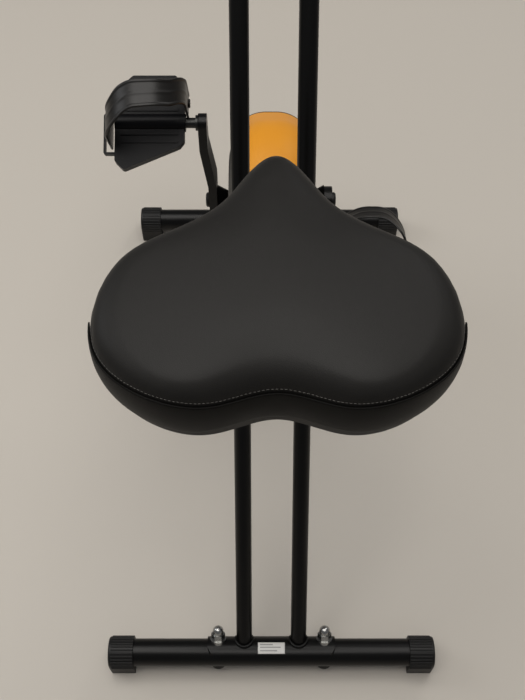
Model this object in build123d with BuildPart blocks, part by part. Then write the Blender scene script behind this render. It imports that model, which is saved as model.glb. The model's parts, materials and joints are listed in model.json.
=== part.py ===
from build123d import *
from math import cos, radians, sin

# A folding upright exercise bike. Two legs cross at one pivot. The handlebar leg is a pair
# of thin tubes from the rear foot, up and forwards. The seat leg is one thick tube from the
# front foot, up and backwards, and it carries the drive housing, the cranks and the saddle.
# X is across the bike, +Y is forwards, Z is up and the floor is Z 0. All sizes are in mm.

# ---- Feet
foot_spread = 768.0  # between the two foot tubes' centre lines
foot_axis_height = 33.0
foot_length = 460.0  # over the end caps
foot_tube_radius = 19.0
foot_wall = 1.5
cap_radius = 23.0
cap_width = 35.0
cap_end_thickness = 4.0
cap_rib_count = 30
cap_rib_radius = 1.1
cap_block_half_depth = 22.0
cap_fit = 0.1

# ---- Saddle brackets and their bolts, the same on both feet
bracket_half_length = 90.0
bracket_thickness = 3.0
bracket_half_angle = 62.0
bracket_fit = 0.1
foot_bolt_spacing = 150.0
foot_bolt_radius = 5.0
foot_bolt_fit = 0.2
foot_bolt_head_radius = 10.0
foot_bolt_head_height = 4.0
washer_radius = 11.0
washer_thickness = 2.5  # at its middle, over the curved bracket
dome_nut_flats = 17.0
dome_nut_hex_height = 9.0
dome_nut_height = 20.0

# ---- Handlebar leg: two bent tubes
leg_angle = 52.8  # above the floor
leg_tube_radius = 11.0
leg_tube_wall = 1.5
leg_tube_spacing = 76.5
leg_straight = 966.0  # from the foot's centre line to the bend
leg_bend_radius = 150.0
leg_top_angle = 75.0
leg_top_straight = 201.0
leg_brace_radius = 8.0
leg_brace_place = 450.0  # from the foot's centre line
weld_gap = 0.05

# ---- Seat leg: one tube, and the post that slides in it
seat_leg_angle = 46.4
main_tube_radius = 19.0
main_tube_wall = 2.0
main_tube_length = 860.0
post_radius = 15.0
post_wall = 2.0
post_overlap = 160.0  # length of post inside the main tube
running_fit = 0.05
sleeve_depth = 60.0
sleeve_flange = 3.0
sleeve_fit = 0.05

# ---- Fold pivot
pivot_bolt_radius = 6.0
pivot_sleeve_radius = 12.5
bush_radius = 8.0
bush_flange_radius = 12.0
bush_flange = 2.0
bush_stand = 2.0  # how far the bush stands out of the leg tube
side_gap = 0.3  # between flat faces that turn past each other
pivot_washer = 2.0
pivot_head = 7.0
pivot_head_radius = 10.0

# ---- Fold lock
fold_angle = 48.0
lock_radius = 75.0  # from the pivot to the clamp screw
lock_plate_thickness = 4.0
lock_plate_margin = 14.0
clamp_screw_radius = 5.0
clamp_slot_fit = 0.4
boss_radius = 11.0
boss_height = 9.0
knob_radius = 20.0
knob_height = 24.0
knob_lobes = 6
seat_knob_setback = 30.0  # below the top of the main tube

# ---- Drive
crank_centre = (222.0, 295.0)  # (Y, Z)
flywheel_centre = (153.0, 380.0)
shaft_radius = 8.5
bearing_radius = 17.5
bearing_width = 10.0
shell_wall = 4.5
shell_half_length = 24.0
plate_thickness = 3.0
crank_pulley_radius = 80.0
flywheel_pulley_radius = 14.0
pulley_inner_x = 30.0
pulley_width = 14.0
pulley_web = 5.0
belt_thickness = 2.0
belt_width = 10.0
belt_gap = 0.3
flywheel_radius = 72.0
flywheel_inner_x = 26.0
flywheel_width = 16.0
magnet_gap = 2.5
magnet_size = (5.5, 14.0, 12.0)  # radial, along the rim, across
magnet_angles = (112.0, 132.0, 152.0)
magnet_arm_thickness = 3.0
magnet_arm_start = 98.0
magnet_arm_end = 172.0
magnet_pin_radius = 4.0

# ---- Housing
housing_radius = 128.0
housing_rear_radius = 108.0
housing_half_width = 58.0
housing_crown = 50.0
housing_wall = 2.5
housing_split_gap = 0.2
housing_tube_gap = 0.4
axle_hole_radius = 15.0
band_half_width = 46.0
band_thickness = 2.0
band_fit = 0.05
band_start_angle = 57.0
band_end_angle = 205.0
housing_boss_radius = 7.0
housing_screw_radius = 2.0
housing_screw_head = (4.7, 3.0)  # radius, height
housing_screw_seat = 42.0

# ---- Cranks and pedals
crank_length = 165.0
crank_thickness = 12.0
crank_inner_x = 79.0
crank_step = 9.0  # outward step from the boss to the eye
crank_boss_radius = 20.0
crank_eye_radius = 13.0
crank_cone_radius = 22.0
crank_cone_tip = (13.0, 62.0)  # radius, X
crank_cap = (11.0, 6.0)  # radius, height
spindle_radius = 7.0
spindle_inner_radius = 4.5
spindle_shoulder_x = 116.0
pedal_inner_x = 118.0
pedal_outer_x = 212.0
pedal_toe = 64.0
pedal_toe_cut = (12.0, 14.0, 22.0)  # across at the inner corner, and back at each corner
pedal_heel_inner = 34.0
pedal_heel_outer = 66.0
pedal_corner = 5.0
pedal_top = 6.0
pedal_bottom = 9.0
pedal_hub_radius = 12.0
pedal_rib_height = 1.5
pedal_rib_width = 3.0
pedal_rib_places = range(-28, 60, 11)
pedal_rib_inset = 8.0
pedal_lug = (224.5, 227.5)  # inner and outer X of the slot bar
pedal_lug_span = (-44.0, 12.0)
pedal_pitch_left = 25.0
pedal_pitch_right = -25.0
strap_inner_x = 113.0
strap_outer_x = 219.0
strap_thickness = 3.0
strap_height = 88.0
strap_corner = 46.0
strap_stud_toe = 27.0
# Across, where the strap's middle line stands along the toe, and half its width there.
strap_stations = [
    (112.0, 27.0, 18.0),
    (117.0, 27.0, 18.0),
    (128.0, 15.0, 18.0),
    (150.0, 12.5, 18.0),
    (185.0, 10.5, 19.0),
    (203.0, -1.0, 23.0),
    (214.0, -14.0, 20.0),
    (220.0, -14.0, 20.0),
]
strap_tail = 14.0
stud_radius = 3.5
stud_head_radius = 6.0
stud_fit = 0.2

# ---- Saddle
saddle_length = 262.0
saddle_half_width = 157.0
saddle_notch = 0.943
saddle_nose_y = -108.0
saddle_bottom = 716.0
saddle_top = 798.0
saddle_base_thickness = 8.0
saddle_base_inset = 6.0
saddle_edge_round = 10.0
saddle_plate_size = (90.0, 120.0, 4.0)
saddle_bolt_spacing = (60.0, 80.0)
saddle_bolt_radius = 4.0
saddle_bolt_head = (6.5, 4.0)

# ---- Handlebar and console
bar_radius = 12.5
bar_wall = 1.5
bar_half_width = 205.0
bar_reach = 190.0
bar_bend_radius = 60.0
bar_rise_angle = 12.0
bar_fit = 0.05
grip_radius = 17.0
grip_length = 122.0
plug_thickness = 3.0
head_plate_size = (110.0, 46.0, 5.0)
clamp_size = (60.0, 46.0, 40.0)
clamp_split = 1.0
clamp_screw_spacing = (40.0, 34.0)
clamp_bolt_radius = 3.0
clamp_bolt_head = (5.0, 5.0)
console_size = (124.0, 84.0, 22.0)
console_wall = 2.0
console_face = 4.0
console_tilt = 50.0
console_stem = (40.0, 26.0, 16.0)
display_size = (84.0, 40.0)
display_recess = 1.5
button_radius = 9.0
button_stand = 3.0
tension_place = 75.0  # below the top of the leg tubes
tension_plate = (50.0, 6.0)  # length, thickness
tension_knob_radius = 22.0
tension_knob_height = 18.0
tension_shaft_radius = 4.0

# ---- Places worked out from the sizes above
across = Vector(1, 0, 0)
leg_up = Vector(0, cos(radians(leg_angle)), sin(radians(leg_angle)))
seat_leg_up = Vector(0, -cos(radians(seat_leg_angle)), sin(radians(seat_leg_angle)))
rear_foot = Vector(0, -foot_spread / 2, foot_axis_height)
front_foot = Vector(0, foot_spread / 2, foot_axis_height)
crossing_sine = sin(radians(leg_angle + seat_leg_angle))
leg_to_pivot = foot_spread * sin(radians(seat_leg_angle)) / crossing_sine
pivot = rear_foot + leg_up * leg_to_pivot
rear_section = Plane(origin=rear_foot, x_dir=across, z_dir=leg_up)
front_section = Plane(origin=front_foot, x_dir=across, z_dir=seat_leg_up)
leg_tube_x = leg_tube_spacing / 2
leg_tube_inner_x = leg_tube_x - leg_tube_radius
leg_tube_outer_x = leg_tube_x + leg_tube_radius
bracket_inner = foot_tube_radius + bracket_fit
bracket_outer = bracket_inner + bracket_thickness
crank_point = Vector(0, *crank_centre)
flywheel_point = Vector(0, *flywheel_centre)


def side_plane(point, x=0.0):
    """The plane across X through a point: local x is Y and local y is Z."""
    return Plane(origin=(x, point.Y, point.Z), x_dir=(0, 1, 0), z_dir=(1, 0, 0))


def polar(point, radius, angle):
    """A point in the bike's middle plane, at an angle above forwards around another point."""
    return point + Vector(0, radius * cos(radians(angle)), radius * sin(radians(angle)))


# ---- Feet, their brackets and bolts


def make_foot(name, foot, section):
    """The tube, caps, bracket, bolts, washers and dome nuts of one foot."""
    tube_half = foot_length / 2 - cap_end_thickness
    washer_top = bracket_outer + washer_thickness
    hole_radius = foot_bolt_radius + foot_bolt_fit
    spots = GridLocations(foot_bolt_spacing, 0, 2, 1)

    with BuildPart() as foot_tube:
        with BuildSketch(side_plane(foot)):
            Circle(foot_tube_radius)
            Circle(foot_tube_radius - foot_wall, mode=Mode.SUBTRACT)
        extrude(amount=tube_half, both=True)
        with BuildSketch(section):
            with spots:
                Circle(hole_radius)
        extrude(amount=bracket_outer, both=True, mode=Mode.SUBTRACT)
    foot_tube.part.label = f"{name}_foot_tube"
    export_step(foot_tube.part, f"parts/{name}_foot_tube.step")

    cap_inner_x = foot_length / 2 - cap_width
    ribbed_width = cap_width - cap_end_thickness
    with BuildPart() as caps:
        with BuildSketch(side_plane(foot, cap_inner_x)):
            Circle(cap_radius - cap_rib_radius)
            with PolarLocations(cap_radius - cap_rib_radius, cap_rib_count):
                Circle(cap_rib_radius)
            with Locations((0, -foot_axis_height)):
                Rectangle(2 * cap_block_half_depth, foot_axis_height, align=(Align.CENTER, Align.MIN))
        extrude(amount=ribbed_width)
        with BuildSketch(side_plane(foot, cap_inner_x + ribbed_width)):
            Circle(cap_radius - cap_rib_radius)
            with Locations((0, -foot_axis_height)):
                Rectangle(2 * cap_block_half_depth, foot_axis_height, align=(Align.CENTER, Align.MIN))
        extrude(amount=cap_end_thickness)
        fillet(caps.faces().sort_by(Axis.X)[-1].edges(), radius=0.6 * cap_end_thickness)
        with BuildSketch(side_plane(foot, cap_inner_x)):
            Circle(foot_tube_radius + cap_fit)
        extrude(amount=ribbed_width, mode=Mode.SUBTRACT)
        mirror(about=Plane.YZ)
    caps.part.label = f"{name}_foot_caps"
    export_step(caps.part, f"parts/{name}_foot_caps.step")

    across_plane = Plane(origin=foot, x_dir=section.z_dir, z_dir=across)
    plan_width = 2 * bracket_outer * sin(radians(bracket_half_angle))
    with BuildPart() as bracket:
        with BuildSketch(across_plane):
            with BuildLine():
                inner = CenterArc((0, 0), bracket_inner, -bracket_half_angle, 2 * bracket_half_angle)
                outer = CenterArc((0, 0), bracket_outer, -bracket_half_angle, 2 * bracket_half_angle)
                Line(inner @ 0, outer @ 0)
                Line(inner @ 1, outer @ 1)
            make_face()
        extrude(amount=bracket_half_length, both=True)
        with BuildSketch(section):
            RectangleRounded(2 * bracket_half_length, plan_width, washer_radius)
            with spots:
                Circle(hole_radius, mode=Mode.SUBTRACT)
        extrude(amount=washer_top, mode=Mode.INTERSECT)
    bracket.part.label = f"{name}_bracket"
    export_step(bracket.part, f"parts/{name}_bracket.step")

    with BuildPart() as bolts:
        with BuildSketch(section.offset(-foot_tube_radius - foot_bolt_head_height)):
            with spots:
                Circle(foot_bolt_head_radius)
        extrude(amount=foot_tube_radius)
        fillet(bolts.edges().group_by(Axis(foot, section.z_dir))[0], radius=0.7 * foot_bolt_head_height)
        with BuildSketch(across_plane):
            Circle(foot_tube_radius + weld_gap)
        extrude(amount=foot_length / 2, both=True, mode=Mode.SUBTRACT)
        with BuildSketch(section.offset(-foot_tube_radius - 0.5 * foot_bolt_head_height)):
            with spots:
                Circle(foot_bolt_radius)
        extrude(amount=foot_tube_radius + 0.5 * foot_bolt_head_height + washer_top + dome_nut_hex_height)

    with BuildPart() as washers:
        with BuildSketch(section.offset(washer_top)):
            with spots:
                Circle(washer_radius)
                Circle(hole_radius, mode=Mode.SUBTRACT)
        extrude(amount=-washer_top / 2)
        with BuildSketch(across_plane):
            Circle(bracket_outer + weld_gap)
        extrude(amount=foot_length / 2, both=True, mode=Mode.SUBTRACT)

    dome_radius = dome_nut_flats / 2 - 1
    with BuildPart() as nuts:
        with BuildSketch(section.offset(washer_top)):
            with spots:
                RegularPolygon(dome_nut_flats / 2, 6, major_radius=False)
        extrude(amount=dome_nut_hex_height)
        with BuildSketch(section.offset(washer_top + dome_nut_hex_height)):
            with spots:
                Circle(dome_radius)
        extrude(amount=dome_nut_height - dome_nut_hex_height)
        fillet(nuts.edges().group_by(Axis(foot, section.z_dir))[-1], radius=0.9 * dome_radius)
        with BuildSketch(section.offset(washer_top)):
            with spots:
                Circle(hole_radius)
        extrude(amount=dome_nut_hex_height + foot_bolt_fit, mode=Mode.SUBTRACT)
    return bolts.part, washers.part, nuts.part


rear_bolts, rear_washers, rear_dome_nuts = make_foot("rear", rear_foot, rear_section)
rear_bolts.label = "rear_bolts"
export_step(rear_bolts, "parts/rear_bolts.step")
rear_washers.label = "rear_washers"
export_step(rear_washers, "parts/rear_washers.step")
rear_dome_nuts.label = "rear_dome_nuts"
export_step(rear_dome_nuts, "parts/rear_dome_nuts.step")

front_bolts, front_washers, front_dome_nuts = make_foot("front", front_foot, front_section)
with BuildPart() as front_fasteners:
    add(front_bolts)
    add(front_washers)
    add(front_dome_nuts)
front_fasteners.part.label = "front_fasteners"
export_step(front_fasteners.part, "parts/front_fasteners.step")

# ---- Handlebar leg

with BuildPart() as leg_tubes:
    with BuildLine(side_plane(Vector(), leg_tube_x)) as leg_path:
        start = (rear_foot.Y, rear_foot.Z)
        lower_run = PolarLine(start, leg_straight, leg_angle)
        bend = JernArc(lower_run @ 1, lower_run % 1, leg_bend_radius, leg_top_angle - leg_angle)
        upper_run = PolarLine(bend @ 1, leg_top_straight, leg_top_angle)
    with BuildSketch(Plane(origin=leg_path.line @ 0, x_dir=across, z_dir=leg_up)):
        Circle(leg_tube_radius)
        Circle(leg_tube_radius - leg_tube_wall, mode=Mode.SUBTRACT)
    sweep(path=leg_path.line)
    with BuildSketch(side_plane(rear_foot)):
        Circle(bracket_outer + weld_gap)
    extrude(amount=foot_length / 2, mode=Mode.SUBTRACT)
    with BuildSketch(side_plane(pivot)):
        Circle(bush_radius + sleeve_fit)
    extrude(amount=foot_length / 2, mode=Mode.SUBTRACT)
    mirror(about=Plane.YZ)
leg_top = Vector(0, (leg_path.line @ 1).Y, (leg_path.line @ 1).Z)
leg_tubes.part.label = "leg_tubes"
export_step(leg_tubes.part, "parts/leg_tubes.step")

top_up = Vector(0, cos(radians(leg_top_angle)), sin(radians(leg_top_angle)))
top_section = Plane(origin=leg_top, x_dir=across, z_dir=top_up)
tension_point = leg_top - top_up * tension_place
rearward = Vector(0, -top_up.Z, top_up.Y)
tension_front = Plane(origin=tension_point, x_dir=across, z_dir=rearward)

with BuildPart() as leg_braces:
    with BuildSketch(side_plane(rear_foot + leg_up * leg_brace_place)):
        Circle(leg_brace_radius)
        Circle(leg_brace_radius - leg_tube_wall, mode=Mode.SUBTRACT)
    extrude(amount=leg_tube_x, both=True)
    with BuildSketch(tension_front.offset(-tension_plate[1] / 2)):
        Rectangle(leg_tube_spacing, tension_plate[0])
        Circle(tension_shaft_radius + running_fit, mode=Mode.SUBTRACT)
    extrude(amount=tension_plate[1])
    for side in (-1, 1):
        with BuildSketch(rear_section):
            with Locations((side * leg_tube_x, 0)):
                Circle(leg_tube_radius + weld_gap)
        extrude(amount=leg_straight, mode=Mode.SUBTRACT)
        with BuildSketch(top_section):
            with Locations((side * leg_tube_x, 0)):
                Circle(leg_tube_radius + weld_gap)
        extrude(amount=-leg_top_straight, mode=Mode.SUBTRACT)
    with BuildSketch(top_section):
        RectangleRounded(head_plate_size[0], head_plate_size[1], 8)
    extrude(amount=head_plate_size[2])
leg_braces.part.label = "leg_braces"
export_step(leg_braces.part, "parts/leg_braces.step")

# ---- Seat leg

seat_stop = front_foot + seat_leg_up * main_tube_length
lock_point = pivot + seat_leg_up * lock_radius
seat_knob_point = seat_stop - seat_leg_up * seat_knob_setback
seat_leg_front = Vector(0, seat_leg_up.Z, -seat_leg_up.Y)  # square to the tube, forwards and up
seat_knob_plane = Plane(origin=seat_knob_point, x_dir=across, z_dir=seat_leg_front)

with BuildPart() as main_tube:
    with BuildSketch(front_section):
        Circle(main_tube_radius)
        Circle(main_tube_radius - main_tube_wall, mode=Mode.SUBTRACT)
    extrude(amount=main_tube_length)
    with BuildSketch(side_plane(front_foot)):
        Circle(bracket_outer + weld_gap)
    extrude(amount=foot_length / 2, both=True, mode=Mode.SUBTRACT)
    with BuildSketch(side_plane(pivot)):
        Circle(pivot_sleeve_radius + weld_gap)
    extrude(amount=leg_tube_x, both=True, mode=Mode.SUBTRACT)
    with BuildSketch(side_plane(lock_point)):
        Circle(clamp_screw_radius + running_fit)
    extrude(amount=main_tube_radius, mode=Mode.SUBTRACT)
    with BuildSketch(seat_knob_plane):
        Circle(clamp_screw_radius + running_fit)
    extrude(amount=main_tube_radius, mode=Mode.SUBTRACT)
main_tube.part.label = "main_tube"
export_step(main_tube.part, "parts/main_tube.step")

pivot_sleeve_half = leg_tube_inner_x - bush_flange - side_gap
with BuildPart() as pivot_sleeve:
    with BuildSketch(side_plane(pivot)):
        Circle(pivot_sleeve_radius)
        Circle(pivot_bolt_radius + running_fit, mode=Mode.SUBTRACT)
    extrude(amount=pivot_sleeve_half, both=True)
pivot_sleeve.part.label = "pivot_sleeve"
export_step(pivot_sleeve.part, "parts/pivot_sleeve.step")

with BuildPart() as pivot_bushes:
    with BuildSketch(side_plane(pivot, leg_tube_inner_x - bush_flange)):
        Circle(bush_flange_radius)
        Circle(pivot_bolt_radius + running_fit, mode=Mode.SUBTRACT)
    extrude(amount=bush_flange)
    with BuildSketch(side_plane(pivot, leg_tube_inner_x)):
        Circle(bush_radius)
        Circle(pivot_bolt_radius + running_fit, mode=Mode.SUBTRACT)
    extrude(amount=2 * leg_tube_radius + bush_stand)
    mirror(about=Plane.YZ)
pivot_bushes.part.label = "pivot_bushes"
export_step(pivot_bushes.part, "parts/pivot_bushes.step")

pivot_washer_x = leg_tube_outer_x + bush_stand + side_gap
pivot_head_x = pivot_washer_x + pivot_washer
with BuildPart() as pivot_bolt:
    with BuildSketch(side_plane(pivot)):
        Circle(pivot_bolt_radius)
    extrude(amount=pivot_head_x + pivot_head, both=True)
    with BuildSketch(side_plane(pivot, -pivot_head_x)):
        RegularPolygon(pivot_head_radius, 6)
    extrude(amount=-pivot_head)
    with BuildSketch(side_plane(pivot, -pivot_washer_x)):
        Circle(bush_flange_radius)
    extrude(amount=-pivot_washer)
pivot_bolt.part.label = "pivot_bolt"
export_step(pivot_bolt.part, "parts/pivot_bolt.step")

with BuildPart() as pivot_nut:
    with BuildSketch(side_plane(pivot, pivot_washer_x)):
        Circle(bush_flange_radius)
    extrude(amount=pivot_washer)
    with BuildSketch(side_plane(pivot, pivot_head_x)):
        RegularPolygon(pivot_head_radius, 6)
    extrude(amount=pivot_head + bush_stand)
    with BuildSketch(side_plane(pivot, pivot_washer_x)):
        Circle(pivot_bolt_radius + running_fit)
    extrude(amount=pivot_washer + pivot_head + running_fit, mode=Mode.SUBTRACT)
pivot_nut.part.label = "pivot_nut"
export_step(pivot_nut.part, "parts/pivot_nut.step")

# ---- Fold lock: a slotted plate on the handlebar leg and a clamp screw on the seat leg

rest_lock_angle = 180 - seat_leg_angle
lock_plate_x = leg_tube_inner_x - lock_plate_thickness - weld_gap
slot_arc = fold_angle + 6.0
slot_start = rest_lock_angle - fold_angle - 3.0
plate_outer = lock_radius + lock_plate_margin
plate_inner = lock_radius - lock_plate_margin
plate_end_angle = slot_start + slot_arc + 14.0
with BuildPart() as fold_plate:
    with BuildSketch(side_plane(pivot, lock_plate_x)):
        with BuildLine():
            inner_arc = CenterArc((0, 0), plate_inner, leg_angle, plate_end_angle - leg_angle)
            outer_arc = CenterArc((0, 0), plate_outer, leg_angle, plate_end_angle - leg_angle)
            Line(inner_arc @ 0, outer_arc @ 0)
            Line(inner_arc @ 1, outer_arc @ 1)
        make_face()
    extrude(amount=lock_plate_thickness)
    with BuildSketch(side_plane(pivot, lock_plate_x)):
        with BuildLine():
            slot_line = CenterArc((0, 0), lock_radius, slot_start, slot_arc)
        trace(line_width=2 * (clamp_screw_radius + clamp_slot_fit))
        with Locations(slot_line @ 0, slot_line @ 1):
            Circle(clamp_screw_radius + clamp_slot_fit)
    extrude(amount=lock_plate_thickness, mode=Mode.SUBTRACT)
fold_plate.part.label = "fold_plate"
export_step(fold_plate.part, "parts/fold_plate.step")

with BuildPart() as clamp_bosses:
    with BuildSketch(side_plane(lock_point, lock_plate_x - side_gap)):
        Circle(boss_radius)
    extrude(amount=-boss_height)
    with BuildSketch(seat_knob_plane.offset(main_tube_radius + boss_height)):
        Circle(boss_radius)
    extrude(amount=-1.6 * boss_height)
    with BuildSketch(front_section):
        Circle(main_tube_radius + weld_gap)
    extrude(amount=main_tube_length, mode=Mode.SUBTRACT)
    with BuildSketch(side_plane(lock_point)):
        Circle(clamp_screw_radius + running_fit)
    extrude(amount=leg_tube_x, mode=Mode.SUBTRACT)
    with BuildSketch(seat_knob_plane):
        Circle(clamp_screw_radius + running_fit)
    extrude(amount=3 * main_tube_radius, mode=Mode.SUBTRACT)
clamp_bosses.part.label = "clamp_bosses"
export_step(clamp_bosses.part, "parts/clamp_bosses.step")


def make_knob(plane, screw_from, grip_from):
    """A lobed clamp knob with its screw, along a plane's normal."""
    with BuildPart() as knob:
        with BuildSketch(plane.offset(screw_from)):
            Circle(clamp_screw_radius)
        extrude(amount=grip_from - screw_from + 1)
        with BuildSketch(plane.offset(grip_from)):
            Circle(0.55 * knob_radius)
        extrude(amount=0.3 * knob_height)
        with BuildSketch(plane.offset(grip_from + 0.3 * knob_height)):
            Circle(0.8 * knob_radius)
            with PolarLocations(0.7 * knob_radius, knob_lobes):
                Circle(0.3 * knob_radius)
        extrude(amount=0.7 * knob_height)
        fillet(knob.edges().group_by(Axis(plane.origin, plane.z_dir))[-1], radius=2)
    return knob.part


fold_knob = make_knob(
    side_plane(lock_point), post_radius + 1, lock_plate_x + lock_plate_thickness + side_gap
)
fold_knob.label = "fold_knob"
export_step(fold_knob, "parts/fold_knob.step")

seat_knob = make_knob(
    seat_knob_plane, post_radius + side_gap, main_tube_radius + boss_height + side_gap
)
seat_knob.label = "seat_knob"
export_step(seat_knob, "parts/seat_knob.step")

# ---- Seat post and saddle

sleeve_outer = main_tube_radius - main_tube_wall - sleeve_fit
with BuildPart() as seat_sleeve:
    with BuildSketch(front_section.offset(main_tube_length - sleeve_depth)):
        Circle(sleeve_outer)
    extrude(amount=sleeve_depth)
    with BuildSketch(front_section.offset(main_tube_length)):
        Circle(main_tube_radius + 2)
    extrude(amount=sleeve_flange)
    with BuildSketch(front_section.offset(main_tube_length - sleeve_depth)):
        Circle(post_radius + running_fit)
    extrude(amount=sleeve_depth + sleeve_flange, mode=Mode.SUBTRACT)
    with BuildSketch(seat_knob_plane):
        Circle(clamp_screw_radius + 2 * running_fit)
    extrude(amount=main_tube_radius, mode=Mode.SUBTRACT)
seat_sleeve.part.label = "seat_sleeve"
export_step(seat_sleeve.part, "parts/seat_sleeve.step")

saddle_plate_bottom = saddle_bottom - saddle_plate_size[2]
post_top_from_foot = (saddle_plate_bottom - front_foot.Z) / seat_leg_up.Z
post_top = front_foot + seat_leg_up * post_top_from_foot
with BuildPart() as seat_post:
    with BuildSketch(front_section.offset(main_tube_length - post_overlap)):
        Circle(post_radius)
        Circle(post_radius - post_wall, mode=Mode.SUBTRACT)
    extrude(amount=post_top_from_foot - main_tube_length + post_overlap + 2 * post_radius)
    split(bisect_by=Plane.XY.offset(saddle_plate_bottom), keep=Keep.BOTTOM)
seat_post.part.label = "seat_post"
export_step(seat_post.part, "parts/seat_post.step")

plate_centre_y = post_top.Y + post_radius
saddle_mount = Plane(origin=(0, plate_centre_y, saddle_plate_bottom))
saddle_spots = GridLocations(*saddle_bolt_spacing, 2, 2)
with BuildPart() as saddle_plate:
    with BuildSketch(saddle_mount):
        RectangleRounded(saddle_plate_size[0], saddle_plate_size[1], 10)
        with saddle_spots:
            Circle(saddle_bolt_radius + stud_fit, mode=Mode.SUBTRACT)
    extrude(amount=saddle_plate_size[2])
saddle_plate.part.label = "saddle_plate"
export_step(saddle_plate.part, "parts/saddle_plate.step")

# Half of the saddle's plan, as shares of its half width and of its length behind the nose.
saddle_plan = (
    (0.19, 0.095),
    (0.32, 0.214),
    (0.58, 0.34),
    (0.83, 0.43),
    (0.98, 0.59),
    (0.96, 0.81),
    (0.77, 0.935),
    (0.38, 1.0),
)


def saddle_outline(inset):
    """Points round the saddle's plan, from the nose over the right side and back."""
    nose = saddle_nose_y - inset
    length = saddle_length - 2 * inset
    right = [
        (across_share * (saddle_half_width - inset), nose - back_share * length)
        for across_share, back_share in saddle_plan
    ]
    left = [(-x, y) for x, y in reversed(right)]
    return [(0, nose)] + right + [(0, nose - saddle_notch * length)] + left


base_top = saddle_bottom + saddle_base_thickness
with BuildPart() as saddle_base:
    with BuildSketch(Plane.XY.offset(saddle_bottom)):
        with BuildLine():
            Spline(*saddle_outline(saddle_base_inset), periodic=True)
        make_face()
    extrude(amount=saddle_base_thickness)
    with BuildSketch(saddle_mount):
        with saddle_spots:
            Circle(saddle_bolt_radius + stud_fit)
    extrude(amount=saddle_plate_size[2] + saddle_base_thickness, mode=Mode.SUBTRACT)
saddle_base.part.label = "saddle_base"
export_step(saddle_base.part, "parts/saddle_base.step")

with BuildPart() as saddle_cushion:
    with BuildSketch(Plane.XY.offset(base_top)):
        with BuildLine():
            Spline(*saddle_outline(0), periodic=True)
        make_face()
    extrude(amount=saddle_top - base_top)
    fillet(saddle_cushion.faces().sort_by(Axis.Z)[-1].edges(), radius=saddle_edge_round)
saddle_cushion.part.label = "saddle_cushion"
export_step(saddle_cushion.part, "parts/saddle_cushion.step")

with BuildPart() as saddle_bolts:
    with BuildSketch(saddle_mount):
        with saddle_spots:
            RegularPolygon(saddle_bolt_head[0], 6)
    extrude(amount=-saddle_bolt_head[1])
    with BuildSketch(saddle_mount):
        with saddle_spots:
            Circle(saddle_bolt_radius)
    extrude(amount=saddle_plate_size[2] + saddle_base_thickness - 1)
saddle_bolts.part.label = "saddle_bolts"
export_step(saddle_bolts.part, "parts/saddle_bolts.step")

# ---- Drive: two side plates on the seat leg carry two bearing shells

shell_radius = bearing_radius + running_fit + shell_wall
plate_x = main_tube_radius + weld_gap
magnet_inner = flywheel_radius + magnet_gap
arm_inner = magnet_inner + magnet_size[0]
arm_outer = arm_inner + magnet_arm_thickness
magnet_pin = polar(flywheel_point, arm_outer, magnet_arm_end)
crank_along = (crank_point - front_foot).dot(seat_leg_up)
flywheel_along = (flywheel_point - front_foot).dot(seat_leg_up)

with BuildPart() as side_plates:
    with BuildSketch(side_plane(Vector(), plate_x)):
        with Locations(crank_centre):
            Circle(shell_radius + 10)
        with Locations(flywheel_centre):
            Circle(shell_radius + 6)
        with Locations((magnet_pin.Y, magnet_pin.Z)):
            Circle(2.5 * magnet_pin_radius)
        for along in (crank_along - 20, flywheel_along + 20):
            weld_point = front_foot + seat_leg_up * along
            with Locations((weld_point.Y, weld_point.Z)):
                Circle(12)
        make_hull()
        with Locations(crank_centre, flywheel_centre):
            Circle(shell_radius + weld_gap, mode=Mode.SUBTRACT)
        with Locations((magnet_pin.Y, magnet_pin.Z)):
            Circle(magnet_pin_radius + running_fit, mode=Mode.SUBTRACT)
    extrude(amount=plate_thickness)
    mirror(about=Plane.YZ)
side_plates.part.label = "side_plates"
export_step(side_plates.part, "parts/side_plates.step")

with BuildPart() as bearing_shells:
    with BuildSketch(side_plane(Vector())):
        with Locations(crank_centre, flywheel_centre):
            Circle(shell_radius)
            Circle(bearing_radius + running_fit, mode=Mode.SUBTRACT)
    extrude(amount=shell_half_length, both=True)
bearing_shells.part.label = "bearing_shells"
export_step(bearing_shells.part, "parts/bearing_shells.step")

with BuildPart() as bearings:
    with BuildSketch(side_plane(Vector(), shell_half_length - bearing_width)):
        with Locations(crank_centre, flywheel_centre):
            Circle(bearing_radius)
            Circle(shaft_radius + running_fit, mode=Mode.SUBTRACT)
    extrude(amount=bearing_width)
    mirror(about=Plane.YZ)
bearings.part.label = "bearings"
export_step(bearings.part, "parts/bearings.step")

crank_outer_x = crank_inner_x + crank_thickness
with BuildPart() as crank_axle:
    with BuildSketch(side_plane(crank_point)):
        Circle(shaft_radius)
    extrude(amount=crank_outer_x - 1, both=True)
crank_axle.part.label = "crank_axle"
export_step(crank_axle.part, "parts/crank_axle.step")

flywheel_outer_x = flywheel_inner_x + flywheel_width
with BuildPart() as flywheel_shaft:
    with BuildSketch(side_plane(flywheel_point, -pulley_inner_x - pulley_width - 2)):
        Circle(shaft_radius)
    extrude(amount=pulley_inner_x + pulley_width + flywheel_outer_x + 4)
flywheel_shaft.part.label = "flywheel_shaft"
export_step(flywheel_shaft.part, "parts/flywheel_shaft.step")

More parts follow.
